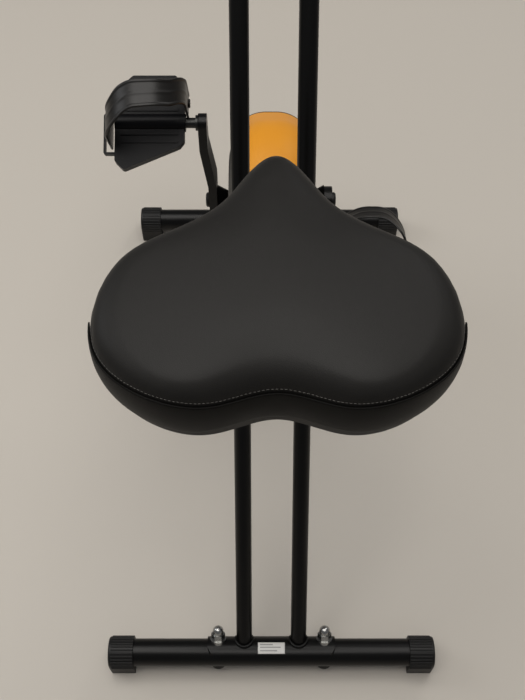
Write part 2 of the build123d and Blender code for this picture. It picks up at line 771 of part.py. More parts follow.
pulley_outer_x = pulley_inner_x + pulley_width
with BuildPart() as crank_pulley:
    with BuildSketch(side_plane(crank_point, -pulley_outer_x)):
        Circle(crank_pulley_radius)
        Circle(crank_pulley_radius - 6, mode=Mode.SUBTRACT)
    extrude(amount=pulley_width)
    with BuildSketch(side_plane(crank_point, -pulley_outer_x + (pulley_width - pulley_web) / 2)):
        Circle(crank_pulley_radius - 5)
        with PolarLocations(0.58 * crank_pulley_radius, 6):
            Circle(0.16 * crank_pulley_radius, mode=Mode.SUBTRACT)
    extrude(amount=pulley_web)
    with BuildSketch(side_plane(crank_point, -pulley_outer_x)):
        Circle(2 * shaft_radius)
    extrude(amount=pulley_width + pulley_inner_x - shell_half_length - 1)
    with BuildSketch(side_plane(crank_point, -pulley_outer_x)):
        Circle(shaft_radius + running_fit)
    extrude(amount=pulley_width + pulley_inner_x, mode=Mode.SUBTRACT)
crank_pulley.part.label = "crank_pulley"
export_step(crank_pulley.part, "parts/crank_pulley.step")

with BuildPart() as flywheel_pulley:
    with BuildSketch(side_plane(flywheel_point, -pulley_outer_x)):
        Circle(flywheel_pulley_radius)
        Circle(shaft_radius + running_fit, mode=Mode.SUBTRACT)
    extrude(amount=pulley_width)
flywheel_pulley.part.label = "flywheel_pulley"
export_step(flywheel_pulley.part, "parts/flywheel_pulley.step")

belt_x = -pulley_outer_x + (pulley_width - belt_width) / 2
with BuildPart() as drive_belt:
    with BuildSketch(side_plane(Vector(), belt_x)):
        with Locations(crank_centre):
            Circle(crank_pulley_radius + belt_gap + belt_thickness)
        with Locations(flywheel_centre):
            Circle(flywheel_pulley_radius + belt_gap + belt_thickness)
        make_hull()
        offset(amount=-belt_thickness, mode=Mode.SUBTRACT)
    extrude(amount=belt_width)
drive_belt.part.label = "drive_belt"
export_step(drive_belt.part, "parts/drive_belt.step")

with BuildPart() as flywheel:
    with BuildSketch(side_plane(flywheel_point, flywheel_inner_x)):
        Circle(flywheel_radius)
        Circle(flywheel_radius - 18, mode=Mode.SUBTRACT)
    extrude(amount=flywheel_width)
    with BuildSketch(side_plane(flywheel_point, flywheel_inner_x + flywheel_width / 3)):
        Circle(flywheel_radius - 17)
    extrude(amount=flywheel_width / 3)
    with BuildSketch(side_plane(flywheel_point, flywheel_inner_x - 1)):
        Circle(2 * shaft_radius)
    extrude(amount=flywheel_width + 1)
    with BuildSketch(side_plane(flywheel_point, flywheel_inner_x - 1)):
        Circle(shaft_radius + running_fit)
    extrude(amount=flywheel_width + 1, mode=Mode.SUBTRACT)
flywheel.part.label = "flywheel"
export_step(flywheel.part, "parts/flywheel.step")

magnet_x = flywheel_inner_x + (flywheel_width - magnet_size[2]) / 2
arm_arc = magnet_arm_end - magnet_arm_start
with BuildPart() as magnet_arm:
    with BuildSketch(side_plane(flywheel_point, magnet_x)):
        with BuildLine():
            inner_arc = CenterArc((0, 0), arm_inner, magnet_arm_start, arm_arc)
            outer_arc = CenterArc((0, 0), arm_outer, magnet_arm_start, arm_arc)
            Line(inner_arc @ 0, outer_arc @ 0)
            Line(inner_arc @ 1, outer_arc @ 1)
        make_face()
    extrude(amount=magnet_size[2])
    with BuildSketch(side_plane(magnet_pin, plate_x)):
        Circle(magnet_pin_radius)
    extrude(amount=magnet_x - plate_x)
    with BuildSketch(side_plane(magnet_pin, plate_x + plate_thickness + side_gap)):
        Circle(1.4 * magnet_pin_radius)
    extrude(amount=magnet_x - plate_x - plate_thickness - side_gap + magnet_size[2])
magnet_arm.part.label = "magnet_arm"
export_step(magnet_arm.part, "parts/magnet_arm.step")

with BuildPart() as magnets:
    for angle in magnet_angles:
        magnet_centre = polar(flywheel_point, magnet_inner, angle)
        outwards = polar(Vector(), 1, angle)
        with BuildSketch(Plane(origin=magnet_centre, x_dir=across, z_dir=outwards)):
            with Locations((magnet_x + magnet_size[2] / 2, 0)):
                Rectangle(magnet_size[2], magnet_size[1])
        extrude(amount=magnet_size[0] + magnet_arm_thickness)
    with BuildSketch(side_plane(flywheel_point, magnet_x)):
        Circle(2 * arm_outer)
        Circle(arm_inner - weld_gap, mode=Mode.SUBTRACT)
    extrude(amount=magnet_size[2], mode=Mode.SUBTRACT)
magnets.part.label = "magnets"
export_step(magnets.part, "parts/magnets.step")

# ---- Housing: two shells, a rim band over their seam, and the screws that join them


def drum(grow, half_width, crown):
    """The housing's rounded drum, grown outwards, with crowned rims."""
    with BuildPart() as solid:
        with BuildSketch(side_plane(Vector())):
            with Locations(crank_centre):
                Circle(housing_radius + grow)
            with Locations(flywheel_centre):
                Circle(housing_rear_radius + grow)
            make_hull()
        extrude(amount=half_width, both=True)
        fillet(solid.edges().group_by(Axis.X)[0] + solid.edges().group_by(Axis.X)[-1], radius=crown)
    return solid.part


outer_drum = drum(0, housing_half_width, housing_crown)
inner_drum = drum(-housing_wall, housing_half_width - housing_wall, housing_crown - housing_wall)
band_outer = drum(band_thickness, housing_half_width + band_thickness, housing_crown + band_thickness)
band_inner = drum(band_fit, housing_half_width + band_fit, housing_crown + band_fit)

boss_reach = housing_radius - 24
boss_points = [polar(crank_point, boss_reach, angle) for angle in (-55, 0, 55, 200)]
boss_points += [polar(flywheel_point, housing_rear_radius - 26, 75)]
boss_spots = [(point.Y, point.Z) for point in boss_points]

with BuildPart() as housing_posts:
    with BuildSketch(side_plane(Vector())):
        with Locations(*boss_spots):
            Circle(housing_boss_radius)
    extrude(amount=housing_half_width, both=True)
    add(outer_drum, mode=Mode.INTERSECT)

with BuildPart() as housing:
    add(outer_drum)
    add(inner_drum, mode=Mode.SUBTRACT)
    add(housing_posts.part)
    with BuildSketch(side_plane(Vector(), -housing_screw_seat + 6)):
        with Locations(*boss_spots):
            Circle(housing_screw_radius + running_fit)
    extrude(amount=2 * housing_screw_seat, mode=Mode.SUBTRACT)
    with BuildSketch(side_plane(Vector(), housing_screw_seat)):
        with Locations(*boss_spots):
            Circle(housing_screw_head[0] + 0.4)
    extrude(amount=housing_half_width, mode=Mode.SUBTRACT)
    with BuildSketch(side_plane(crank_point)):
        Circle(axle_hole_radius)
    extrude(amount=housing_half_width, both=True, mode=Mode.SUBTRACT)
    with BuildSketch(front_section):
        Circle(main_tube_radius + housing_tube_gap)
    extrude(amount=main_tube_length, mode=Mode.SUBTRACT)

with BuildPart() as housing_right:
    add(housing.part)
    split(bisect_by=Plane.YZ.offset(housing_split_gap / 2), keep=Keep.TOP)
housing_right.part.label = "housing_right"
export_step(housing_right.part, "parts/housing_right.step")

with BuildPart() as housing_left:
    add(housing.part)
    split(bisect_by=Plane.YZ.offset(-housing_split_gap / 2), keep=Keep.BOTTOM)
housing_left.part.label = "housing_left"
export_step(housing_left.part, "parts/housing_left.step")

with BuildPart() as housing_screws:
    with BuildSketch(side_plane(Vector(), -housing_screw_seat + 8)):
        with Locations(*boss_spots):
            Circle(housing_screw_radius)
    extrude(amount=2 * housing_screw_seat - 8)
    with BuildSketch(side_plane(Vector(), housing_screw_seat)):
        with Locations(*boss_spots):
            Circle(housing_screw_head[0])
    extrude(amount=housing_screw_head[1])
housing_screws.part.label = "housing_screws"
export_step(housing_screws.part, "parts/housing_screws.step")

band_reach = 4 * housing_radius
with BuildPart() as housing_band:
    with BuildSketch(side_plane(Vector())):
        with BuildLine():
            front_ray = polar(crank_point, band_reach, band_start_angle)
            rear_ray = polar(flywheel_point, band_reach, band_end_angle)
            far_corner = Vector(0, rear_ray.Y, front_ray.Z)
            Polyline(
                crank_centre,
                (front_ray.Y, front_ray.Z),
                (far_corner.Y, far_corner.Z),
                (rear_ray.Y, rear_ray.Z),
                flywheel_centre,
                close=True,
            )
        make_face()
    extrude(amount=band_half_width, both=True)
    add(band_outer, mode=Mode.INTERSECT)
    add(band_inner, mode=Mode.SUBTRACT)
    with BuildSketch(front_section):
        Circle(main_tube_radius + housing_tube_gap)
    extrude(amount=main_tube_length, mode=Mode.SUBTRACT)
housing_band.part.label = "housing_band"
export_step(housing_band.part, "parts/housing_band.step")

# ---- Cranks

crank_ends = {-1: 1, 1: -1}  # side of the bike, and up or down at rest


def make_crank(side):
    """One crank arm, with its cone towards the housing and its stepped outer end."""
    turn = crank_ends[side]
    eye = crank_point + Vector(0, 0, turn * crank_length)
    front_plane = Plane(origin=crank_point, x_dir=across, z_dir=(0, -1, 0))
    eye_inner = crank_inner_x + crank_step
    bend_from = 0.3 * crank_length
    bend_to = 0.75 * crank_length
    far = crank_length + 2 * crank_eye_radius
    inner_side = [
        (crank_inner_x, -far / 4),
        (crank_inner_x, bend_from),
        (eye_inner, bend_to),
        (eye_inner, far),
    ]
    outer_side = [(x + crank_thickness, z) for x, z in reversed(inner_side)]
    with BuildPart() as crank:
        with BuildSketch(front_plane):
            with BuildLine():
                Polyline(*[(side * x, turn * z) for x, z in inner_side + outer_side], close=True)
            make_face()
        extrude(amount=2 * crank_boss_radius, both=True)
        with BuildSketch(side_plane(crank_point)):
            Circle(crank_boss_radius)
            with Locations((0, turn * crank_length)):
                Circle(crank_eye_radius)
            make_hull()
        extrude(amount=2 * crank_inner_x, both=True, mode=Mode.INTERSECT)
        outer_edges = crank.faces().sort_by(Axis.X)[-1 if side > 0 else 0].edges()
        fillet(outer_edges.filter_by(GeomType.CIRCLE), radius=1.5)
        cone_tip = Plane(origin=crank_point + across * side * crank_cone_tip[1], z_dir=(side, 0, 0))
        with BuildSketch(cone_tip):
            Circle(crank_cone_tip[0])
        with BuildSketch(cone_tip.offset(crank_inner_x - crank_cone_tip[1])):
            Circle(crank_cone_radius)
        loft()
        with BuildSketch(side_plane(crank_point)):
            Circle(shaft_radius + running_fit)
        extrude(amount=2 * crank_inner_x, both=True, mode=Mode.SUBTRACT)
        with BuildSketch(side_plane(eye)):
            Circle(spindle_radius + running_fit)
        extrude(amount=2 * crank_inner_x, both=True, mode=Mode.SUBTRACT)
    return crank.part


crank_left = make_crank(-1)
crank_left.label = "crank_left"
export_step(crank_left, "parts/crank_left.step")

crank_right = make_crank(1)
crank_right.label = "crank_right"
export_step(crank_right, "parts/crank_right.step")

with BuildPart() as crank_caps:
    with BuildSketch(side_plane(crank_point, crank_outer_x)):
        Circle(crank_cap[0])
    extrude(amount=crank_cap[1])
    fillet(crank_caps.faces().sort_by(Axis.X)[-1].edges(), radius=0.6 * crank_cap[1])
    mirror(about=Plane.YZ)
crank_caps.part.label = "crank_caps"
export_step(crank_caps.part, "parts/crank_caps.step")

spindle_end_x = pedal_outer_x - 7
with BuildPart() as pedal_spindles:
    for side, turn in crank_ends.items():
        eye = crank_point + Vector(0, 0, turn * crank_length)
        with BuildSketch(side_plane(eye, side * (crank_inner_x + crank_step))):
            Circle(spindle_radius)
        extrude(amount=side * (spindle_shoulder_x - crank_inner_x - crank_step))
        with BuildSketch(side_plane(eye, side * spindle_shoulder_x)):
            Circle(spindle_inner_radius)
        extrude(amount=side * (spindle_end_x - spindle_shoulder_x))
        with BuildSketch(side_plane(eye, side * (crank_outer_x + crank_step + weld_gap))):
            Circle(1.5 * spindle_radius)
        extrude(amount=side * 3)
pedal_spindles.part.label = "pedal_spindles"
export_step(pedal_spindles.part, "parts/pedal_spindles.step")

# ---- Pedals and their straps


def pedal_planes(side, pitch):
    """A pedal's top view (X, toe), its side view (toe, up) and its front view (X, up)."""
    eye = crank_point + Vector(0, 0, crank_ends[side] * crank_length)
    toe = polar(Vector(), 1, pitch)
    up = polar(Vector(), 1, pitch + 90)
    top_view = Plane(origin=eye, x_dir=across, z_dir=up)
    side_view = Plane(origin=eye, x_dir=toe, z_dir=across)
    front_view = Plane(origin=eye, x_dir=across, z_dir=-toe)
    return top_view, side_view, front_view


def make_pedal(side, pitch):
    """A pedal platform with a slanted heel, a bored hub, a slot bar outside and a strap stud."""
    top_view, side_view, _ = pedal_planes(side, pitch)
    outline = [
        (pedal_inner_x, pedal_toe - pedal_toe_cut[1]),
        (pedal_inner_x + pedal_toe_cut[0], pedal_toe),
        (pedal_outer_x - 2 * pedal_toe_cut[0], pedal_toe),
        (pedal_outer_x, pedal_toe - pedal_toe_cut[2]),
        (pedal_outer_x, -pedal_heel_outer + 12),
        (pedal_outer_x - 12, -pedal_heel_outer),
        (pedal_inner_x + 6, -pedal_heel_inner),
        (pedal_inner_x, -pedal_heel_inner + 8),
    ]
    with BuildPart() as pedal:
        with BuildSketch(top_view.offset(-pedal_bottom)):
            Polygon(*[(side * x, toe) for x, toe in outline], align=None)
            fillet(vertices(), radius=pedal_corner)
        extrude(amount=pedal_bottom + pedal_top)
        with BuildSketch(top_view.offset(pedal_top)):
            for toe in pedal_rib_places:
                with Locations((side * (pedal_inner_x + pedal_outer_x) / 2, toe)):
                    Rectangle(pedal_outer_x - pedal_inner_x - 2 * pedal_rib_inset, pedal_rib_width)
        extrude(amount=pedal_rib_height)
        with BuildSketch(side_view.offset(side * (spindle_shoulder_x + 0.5))):
            Circle(pedal_hub_radius)
        extrude(amount=side * (pedal_outer_x - spindle_shoulder_x - 0.5))
        lug_middle = sum(pedal_lug_span) / 2
        lug_length = pedal_lug_span[1] - pedal_lug_span[0]
        lug_width = pedal_lug[1] - pedal_outer_x + 4
        with BuildSketch(top_view.offset(-pedal_bottom + 2)):
            with Locations((side * (pedal_lug[1] - lug_width / 2), lug_middle)):
                RectangleRounded(lug_width, lug_length, 3)
        extrude(amount=pedal_bottom)
        with BuildSketch(top_view.offset(-2 * pedal_bottom)):
            with Locations((side * (pedal_lug[0] + pedal_outer_x) / 2, lug_middle)):
                Rectangle(pedal_lug[0] - pedal_outer_x, lug_length - 6)
        extrude(amount=4 * pedal_bottom, mode=Mode.SUBTRACT)
        with BuildSketch(side_view.offset(side * (strap_inner_x - 2.2))):
            with Locations((strap_stud_toe, 0)):
                Circle(stud_head_radius)
        extrude(amount=side * 2)
        with BuildSketch(side_view.offset(side * (strap_inner_x - 1))):
            with Locations((strap_stud_toe, 0)):
                Circle(stud_radius)
        extrude(amount=side * (pedal_inner_x - strap_inner_x + 2))
        with BuildSketch(side_view):
            Circle(spindle_inner_radius + running_fit)
        extrude(amount=side * (spindle_end_x + 1), mode=Mode.SUBTRACT)
    return pedal.part


def make_strap(side, pitch):
    """An arched foot strap that leans back as it crosses the pedal and hangs through the slot."""
    top_view, side_view, front_view = pedal_planes(side, pitch)
    half = strap_thickness / 2
    inner_line = side * (strap_inner_x + half)
    outer_line = side * (strap_outer_x - half)
    crest = strap_height - half
    with BuildPart() as strap:
        with BuildSketch(front_view):
            with BuildLine():
                FilletPolyline(
                    (inner_line, -strap_tail),
                    (inner_line, crest),
                    (outer_line, crest),
                    (outer_line, -strap_tail),
                    radius=strap_corner,
                )
            trace(line_width=strap_thickness)
        extrude(amount=pedal_toe, both=True)
        with BuildSketch(top_view.offset(-2 * strap_tail)):
            front_edge = [(side * x, middle + half_width) for x, middle, half_width in strap_stations]
            rear_edge = [(side * x, middle - half_width) for x, middle, half_width in strap_stations]
            Polygon(*front_edge, *reversed(rear_edge), align=None)
        extrude(amount=strap_height + 3 * strap_tail, mode=Mode.INTERSECT)
        with BuildSketch(side_view.offset(side * (strap_inner_x - 1))):
            with Locations((strap_stud_toe, 0)):
                Circle(stud_radius + stud_fit)
        extrude(amount=side * (strap_thickness + 2), mode=Mode.SUBTRACT)
        with BuildSketch(top_view.offset(-2 * strap_tail)):
            with Locations((side * strap_inner_x, 0)):
                Rectangle(4 * strap_thickness, 2 * pedal_toe)
        extrude(amount=2 * strap_tail - pedal_bottom, mode=Mode.SUBTRACT)
    return strap.part


pedal_left = make_pedal(-1, pedal_pitch_left)
pedal_left.label = "pedal_left"
export_step(pedal_left, "parts/pedal_left.step")

pedal_right = make_pedal(1, pedal_pitch_right)
pedal_right.label = "pedal_right"
export_step(pedal_right, "parts/pedal_right.step")

strap_left = make_strap(-1, pedal_pitch_left)
strap_left.label = "strap_left"
export_step(strap_left, "parts/strap_left.step")

strap_right = make_strap(1, pedal_pitch_right)
strap_right.label = "strap_right"
export_step(strap_right, "parts/strap_right.step")

# ---- Handlebar, its clamp and grips

bar_drop = clamp_size[2] / 2 + head_plate_size[2]
bar_point = leg_top + top_up * bar_drop
bar_back = Vector(0, -cos(radians(bar_rise_angle)), sin(radians(bar_rise_angle)))
bar_plane = Plane(origin=bar_point, x_dir=across, z_dir=across.cross(bar_back))
clamp_section = Plane(origin=bar_point, x_dir=across, z_dir=top_up)
half_clamp = clamp_size[2] / 2
clamp_spots = GridLocations(*clamp_screw_spacing, 2, 2)

with BuildPart() as handlebar_clamp:
    with BuildSketch(clamp_section.offset(-half_clamp)):
        RectangleRounded(clamp_size[0], clamp_size[1], 5)
    extrude(amount=clamp_size[2])
    with BuildSketch(side_plane(bar_point)):
        Circle(bar_radius + bar_fit)
    extrude(amount=clamp_size[0], both=True, mode=Mode.SUBTRACT)
    with BuildSketch(clamp_section.offset(-clamp_split / 2)):
        Rectangle(2 * clamp_size[0], 2 * clamp_size[1])
    extrude(amount=clamp_split, mode=Mode.SUBTRACT)
    with BuildSketch(clamp_section.offset(-half_clamp + 4)):
        with clamp_spots:
            Circle(clamp_bolt_radius + running_fit)
    extrude(amount=clamp_size[2], mode=Mode.SUBTRACT)
    with BuildSketch(clamp_section.offset(half_clamp - clamp_bolt_head[1])):
        with clamp_spots:
            Circle(clamp_bolt_head[0] + 0.3)
    extrude(amount=clamp_bolt_head[1], mode=Mode.SUBTRACT)
handlebar_clamp.part.label = "handlebar_clamp"
export_step(handlebar_clamp.part, "parts/handlebar_clamp.step")

with BuildPart() as clamp_screws:
    with BuildSketch(clamp_section.offset(-half_clamp + 5)):
        with clamp_spots:
            Circle(clamp_bolt_radius)
    extrude(amount=clamp_size[2] - 5 - clamp_bolt_head[1])
    with BuildSketch(clamp_section.offset(half_clamp - clamp_bolt_head[1])):
        with clamp_spots:
            Circle(clamp_bolt_head[0])
    extrude(amount=clamp_bolt_head[1] - 0.5)
clamp_screws.part.label = "clamp_screws"
export_step(clamp_screws.part, "parts/clamp_screws.step")

with BuildPart() as handlebar:
    with BuildLine(bar_plane) as bar_path:
        FilletPolyline(
            (-bar_half_width, bar_reach),
            (-bar_half_width, 0),
            (bar_half_width, 0),
            (bar_half_width, bar_reach),
            radius=bar_bend_radius,
        )
    with BuildSketch(Plane(origin=bar_path.line @ 0, z_dir=bar_path.line % 0)):
        Circle(bar_radius)
        Circle(bar_radius - bar_wall, mode=Mode.SUBTRACT)
    sweep(path=bar_path.line)
handlebar.part.label = "handlebar"
export_step(handlebar.part, "parts/handlebar.step")

bar_end_plane = Plane(origin=bar_point + bar_back * bar_reach, x_dir=across, z_dir=bar_back)
bar_ends = GridLocations(2 * bar_half_width, 0, 2, 1)
with BuildPart() as foam_grips:
    with BuildSketch(bar_end_plane):
        with bar_ends:
            Circle(grip_radius)
            Circle(bar_radius + bar_fit, mode=Mode.SUBTRACT)
    extrude(amount=-grip_length)
foam_grips.part.label = "foam_grips"
export_step(foam_grips.part, "parts/foam_grips.step")

with BuildPart() as bar_plugs:
    with BuildSketch(bar_end_plane):
        with bar_ends:
            Circle(bar_radius)
    extrude(amount=plug_thickness)
    with BuildSketch(bar_end_plane):
        with bar_ends:
            Circle(bar_radius - bar_wall - bar_fit)
    extrude(amount=-3 * plug_thickness)
bar_plugs.part.label = "bar_plugs"
export_step(bar_plugs.part, "parts/bar_plugs.step")

# ---- Console

console_normal = polar(Vector(), 1, leg_top_angle + console_tilt)
console_base = bar_point + top_up * (half_clamp + console_stem[2])
console_low = console_size[1] / 2 * sin(radians(console_tilt))
console_point = console_base + top_up * console_low
console_plane = Plane(origin=console_point, x_dir=across, z_dir=console_normal)
with BuildPart() as console_case:
    with BuildSketch(console_plane):
        RectangleRounded(console_size[0], console_size[1], 14)
    extrude(amount=console_size[2])
    with BuildSketch(console_plane.offset(console_wall)):
        RectangleRounded(console_size[0] - 2 * console_wall, console_size[1] - 2 * console_wall, 12)
    extrude(amount=console_size[2], mode=Mode.SUBTRACT)
    with BuildSketch(clamp_section.offset(half_clamp + weld_gap)):
        Rectangle(console_stem[0], console_stem[1])
    extrude(amount=console_stem[2] + console_low)
    with BuildSketch(console_plane.offset(console_wall)):
        Rectangle(2 * console_size[0], 2 * console_size[1])
        RectangleRounded(console_size[0], console_size[1], 14, mode=Mode.SUBTRACT)
    extrude(amount=console_size[2], mode=Mode.SUBTRACT)
    with BuildSketch(console_plane.offset(console_wall)):
        RectangleRounded(console_size[0] - 2 * console_wall, console_size[1] - 2 * console_wall, 12)
    extrude(amount=2 * console_size[2], mode=Mode.SUBTRACT)
console_case.part.label = "console_case"
export_step(console_case.part, "parts/console_case.step")

console_face_plane = console_plane.offset(console_size[2])
display_y = 0.14 * console_size[1]
button_y = -0.32 * console_size[1]
with BuildPart() as console_front:
    with BuildSketch(console_face_plane):
        RectangleRounded(console_size[0], console_size[1], 14)
        with Locations((0, button_y)):
            Circle(button_radius + side_gap, mode=Mode.SUBTRACT)
    extrude(amount=console_face)
    fillet(console_front.edges().group_by(Axis(console_point, console_normal))[-1], radius=0.8)
    with BuildSketch(console_face_plane.offset(console_face - display_recess)):
        with Locations((0, display_y)):
            RectangleRounded(*display_size, 4)
    extrude(amount=display_recess, mode=Mode.SUBTRACT)
console_front.part.label = "console_front"
export_step(console_front.part, "parts/console_front.step")

with BuildPart() as console_display:
    with BuildSketch(console_face_plane.offset(console_face - display_recess)):
        with Locations((0, display_y)):
            RectangleRounded(display_size[0] - 1, display_size[1] - 1, 3.5)
    extrude(amount=display_recess - 0.4)
console_display.part.label = "console_display"
export_step(console_display.part, "parts/console_display.step")

with BuildPart() as console_button:
    with BuildSketch(console_face_plane):
        with Locations((0, button_y)):
            Circle(button_radius)
    extrude(amount=console_face + button_stand)
    fillet(console_button.edges().group_by(Axis(console_point, console_normal))[-1], radius=1)
    with BuildSketch(console_face_plane.offset(-2)):
        with Locations((0, button_y)):
            Circle(button_radius + 2)
    extrude(amount=2 - side_gap)
    with BuildSketch(console_face_plane.offset(-1)):
        with Locations((0, button_y)):
            Circle(button_radius)
    extrude(amount=2)
console_button.part.label = "console_button"
export_step(console_button.part, "parts/console_button.step")

# ---- Tension knob on the plate between the leg tubes

with BuildPart() as tension_knob:
    with BuildSketch(tension_front.offset(tension_plate[1] / 2 + side_gap)):
        Circle(tension_knob_radius)
    extrude(amount=4)
    with BuildSketch(tension_front.offset(tension_plate[1] / 2 + side_gap + 4)):
        Circle(0.8 * tension_knob_radius)
        with PolarLocations(0.78 * tension_knob_radius, 12):
            Circle(2.2)
    extrude(amount=tension_knob_height - 4)
    with BuildSketch(tension_front.offset(-tension_plate[1] / 2 - side_gap - 4)):
        Circle(tension_shaft_radius)
    extrude(amount=tension_plate[1] + 2 * side_gap + 5)
    with BuildSketch(tension_front.offset(-tension_plate[1] / 2 - side_gap)):
        Circle(2 * tension_shaft_radius)
    extrude(amount=-4)
tension_knob.part.label = "tension_knob"
export_step(tension_knob.part, "parts/tension_knob.step")
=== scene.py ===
import bmesh
import bpy
import json
import numpy as np
from math import cos, pi, radians, sin
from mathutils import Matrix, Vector


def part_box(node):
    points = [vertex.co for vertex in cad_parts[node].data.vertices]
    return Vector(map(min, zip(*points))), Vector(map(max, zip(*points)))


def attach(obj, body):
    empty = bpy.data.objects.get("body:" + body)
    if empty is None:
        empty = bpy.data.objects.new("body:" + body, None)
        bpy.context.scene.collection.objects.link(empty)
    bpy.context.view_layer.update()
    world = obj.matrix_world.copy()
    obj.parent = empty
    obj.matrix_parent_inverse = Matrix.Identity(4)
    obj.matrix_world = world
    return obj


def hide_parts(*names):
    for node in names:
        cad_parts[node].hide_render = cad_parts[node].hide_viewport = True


# A folding exercise bike in its satin black finish. Lengths are metres, X is across, +Y is
# forwards and Z is up.

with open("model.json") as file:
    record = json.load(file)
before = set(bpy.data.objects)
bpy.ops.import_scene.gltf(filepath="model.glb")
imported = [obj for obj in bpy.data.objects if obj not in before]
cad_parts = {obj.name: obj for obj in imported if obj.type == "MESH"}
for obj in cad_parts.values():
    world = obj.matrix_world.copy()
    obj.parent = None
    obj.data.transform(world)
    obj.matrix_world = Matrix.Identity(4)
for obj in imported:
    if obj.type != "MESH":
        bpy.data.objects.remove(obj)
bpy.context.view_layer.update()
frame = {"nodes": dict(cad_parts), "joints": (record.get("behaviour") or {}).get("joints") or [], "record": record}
scene = bpy.context.scene
joints = {joint["name"]: joint for joint in frame["joints"]}

full_turn = 2 * pi

# ---- Camera: standing behind the saddle and looking down and forwards

camera_data = bpy.data.cameras.new("camera")
camera_data.lens = 51.43
camera_data.sensor_width = 36
camera = bpy.data.objects.new("camera", camera_data)
camera.location = (-0.0125, -0.7232, 1.481)
camera.rotation_euler = (radians(30), 0, 0)
scene.collection.objects.link(camera)
scene.camera = camera

# ---- Meshes from arrays

weld_distance = 1e-6
tube_sides = 10
ripple_turn = 0.9  # radians of the ripple's wave from one ring to the next


def shade_smooth(mesh):
    """Marks every face of the mesh as smooth."""
    mesh.polygons.foreach_set("use_smooth", np.ones(len(mesh.polygons), dtype=bool))


def new_piece(name, points, faces, body, material):
    """A smooth mesh object from an array of points and an array of faces, riding on a body."""
    mesh = bpy.data.meshes.new(name)
    mesh.from_pydata(np.reshape(points, (-1, 3)).tolist(), [], [list(face) for face in faces])
    shade_smooth(mesh)
    mesh.materials.append(material)
    mesh.update()
    piece = bpy.data.objects.new(name, mesh)
    scene.collection.objects.link(piece)
    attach(piece, body)
    return piece


def grid_faces(rows, columns, close_rows=False, close_columns=False):
    """Quads of a rows by columns grid: each joins a point to the next along both parameters."""
    row = np.arange(rows if close_rows else rows - 1)
    column = np.arange(columns if close_columns else columns - 1)
    r, c = np.meshgrid(row, column, indexing="ij")
    r_next, c_next = (r + 1) % rows, (c + 1) % columns
    this, following = r * columns, r_next * columns
    corners = [this + c, this + c_next, following + c_next, following + c]
    return np.stack(corners, axis=-1).reshape(-1, 4)


def closed_curve(knots, count):
    """A smooth closed curve through the knots: a periodic cubic spline over their chord length.

    Each span is a cubic whose second derivatives m solve
    h0 m0 + 2 (h0 + h1) m1 + h1 m2 = 6 (slope1 - slope0) round the loop.
    """
    knots = np.asarray(knots, dtype=float)
    n = len(knots)
    step = np.linalg.norm(np.roll(knots, -1, axis=0) - knots, axis=1)
    slope = (np.roll(knots, -1, axis=0) - knots) / step[:, None]
    before = np.roll(step, 1)
    system = np.zeros((n, n))
    index = np.arange(n)
    system[index, index] = 2 * (before + step)
    system[index, (index + 1) % n] = step
    system[index, index - 1] = before
    bend = np.linalg.solve(system, 6 * (slope - np.roll(slope, 1, axis=0)))
    place = np.linspace(0, step.sum(), count, endpoint=False)
    starts = np.concatenate([[0], np.cumsum(step)])
    span = np.clip(np.searchsorted(starts, place, side="right") - 1, 0, n - 1)
    h = step[span][:, None]
    b = ((place - starts[span])[:, None]) / h
    a = 1 - b
    this, following = knots[span], knots[(span + 1) % n]
    curve = (a**3 - a) * bend[span] + (b**3 - b) * bend[(span + 1) % n]
    return a * this + b * following + curve * h**2 / 6


def smooth_step(x):
    """0 below 0, 1 above 1, and 3x^2 - 2x^3 between."""
    x = np.clip(x, 0, 1)
    return x * x * (3 - 2 * x)


def recalculate_normals(piece):
    """Welds points that coincide and turns every face of the piece outwards."""
    work = bmesh.new()
    work.from_mesh(piece.data)
    bmesh.ops.remove_doubles(work, verts=work.verts, dist=weld_distance)
    bmesh.ops.recalc_face_normals(work, faces=work.faces)
    work.to_mesh(piece.data)
    work.free()


def swept_tube(name, path, radius, body, material, closed=True, ripple=0):
    """A round tube along a path of points, with a rippled radius.

    Each ring is path + radius (cos a N + sin a B). N is square to the path and points away from
    the middle of the path's points, and B is square to both.
    """
    path = np.asarray(path, dtype=float)
    tangent = np.roll(path, -1, axis=0) - np.roll(path, 1, axis=0)
    if not closed:
        tangent[0] = path[1] - path[0]
        tangent[-1] = path[-1] - path[-2]
    tangent /= np.linalg.norm(tangent, axis=1)[:, None]
    away = path - path.mean(axis=0)
    normal = away - (away * tangent).sum(axis=1)[:, None] * tangent
    normal /= np.linalg.norm(normal, axis=1)[:, None]
    binormal = np.cross(tangent, normal)
    angle = np.linspace(0, full_turn, tube_sides, endpoint=False)[None, :, None]
    wave = np.abs(np.sin(np.arange(len(path)) * ripple_turn))
    thick = radius * (1 + ripple * wave)[:, None, None]
    out = np.cos(angle) * normal[:, None] + np.sin(angle) * binormal[:, None]
    rings = path[:, None] + thick * out
    faces = grid_faces(len(path), tube_sides, closed, True).tolist()
    if not closed:
        last = (len(path) - 1) * tube_sides
        faces += [range(tube_sides), range(last, last + tube_sides)]
    piece = new_piece(name, rings, faces, body, material)
    recalculate_normals(piece)


# ---- Shader groups that several materials share

coarse_scale = 0.18  # the coarse noise's scale as a share of the fine one's
dust_colour = (0.22, 0.2, 0.18, 1)
middle_grey = 0.5
fold_height = 0.35  # the vinyl's folds against its creases


def start_group(name, inputs, outputs):
    """An empty shader node group with named float or colour inputs and outputs."""
    group = bpy.data.node_groups.new(name, "ShaderNodeTree")
    for label, kind, value in inputs:
        socket = group.interface.new_socket(label, in_out="INPUT", socket_type=kind)
        socket.default_value = value
    for label, kind in outputs:
        group.interface.new_socket(label, in_out="OUTPUT", socket_type=kind)
    return group, group.nodes.new("NodeGroupInput"), group.nodes.new("NodeGroupOutput")


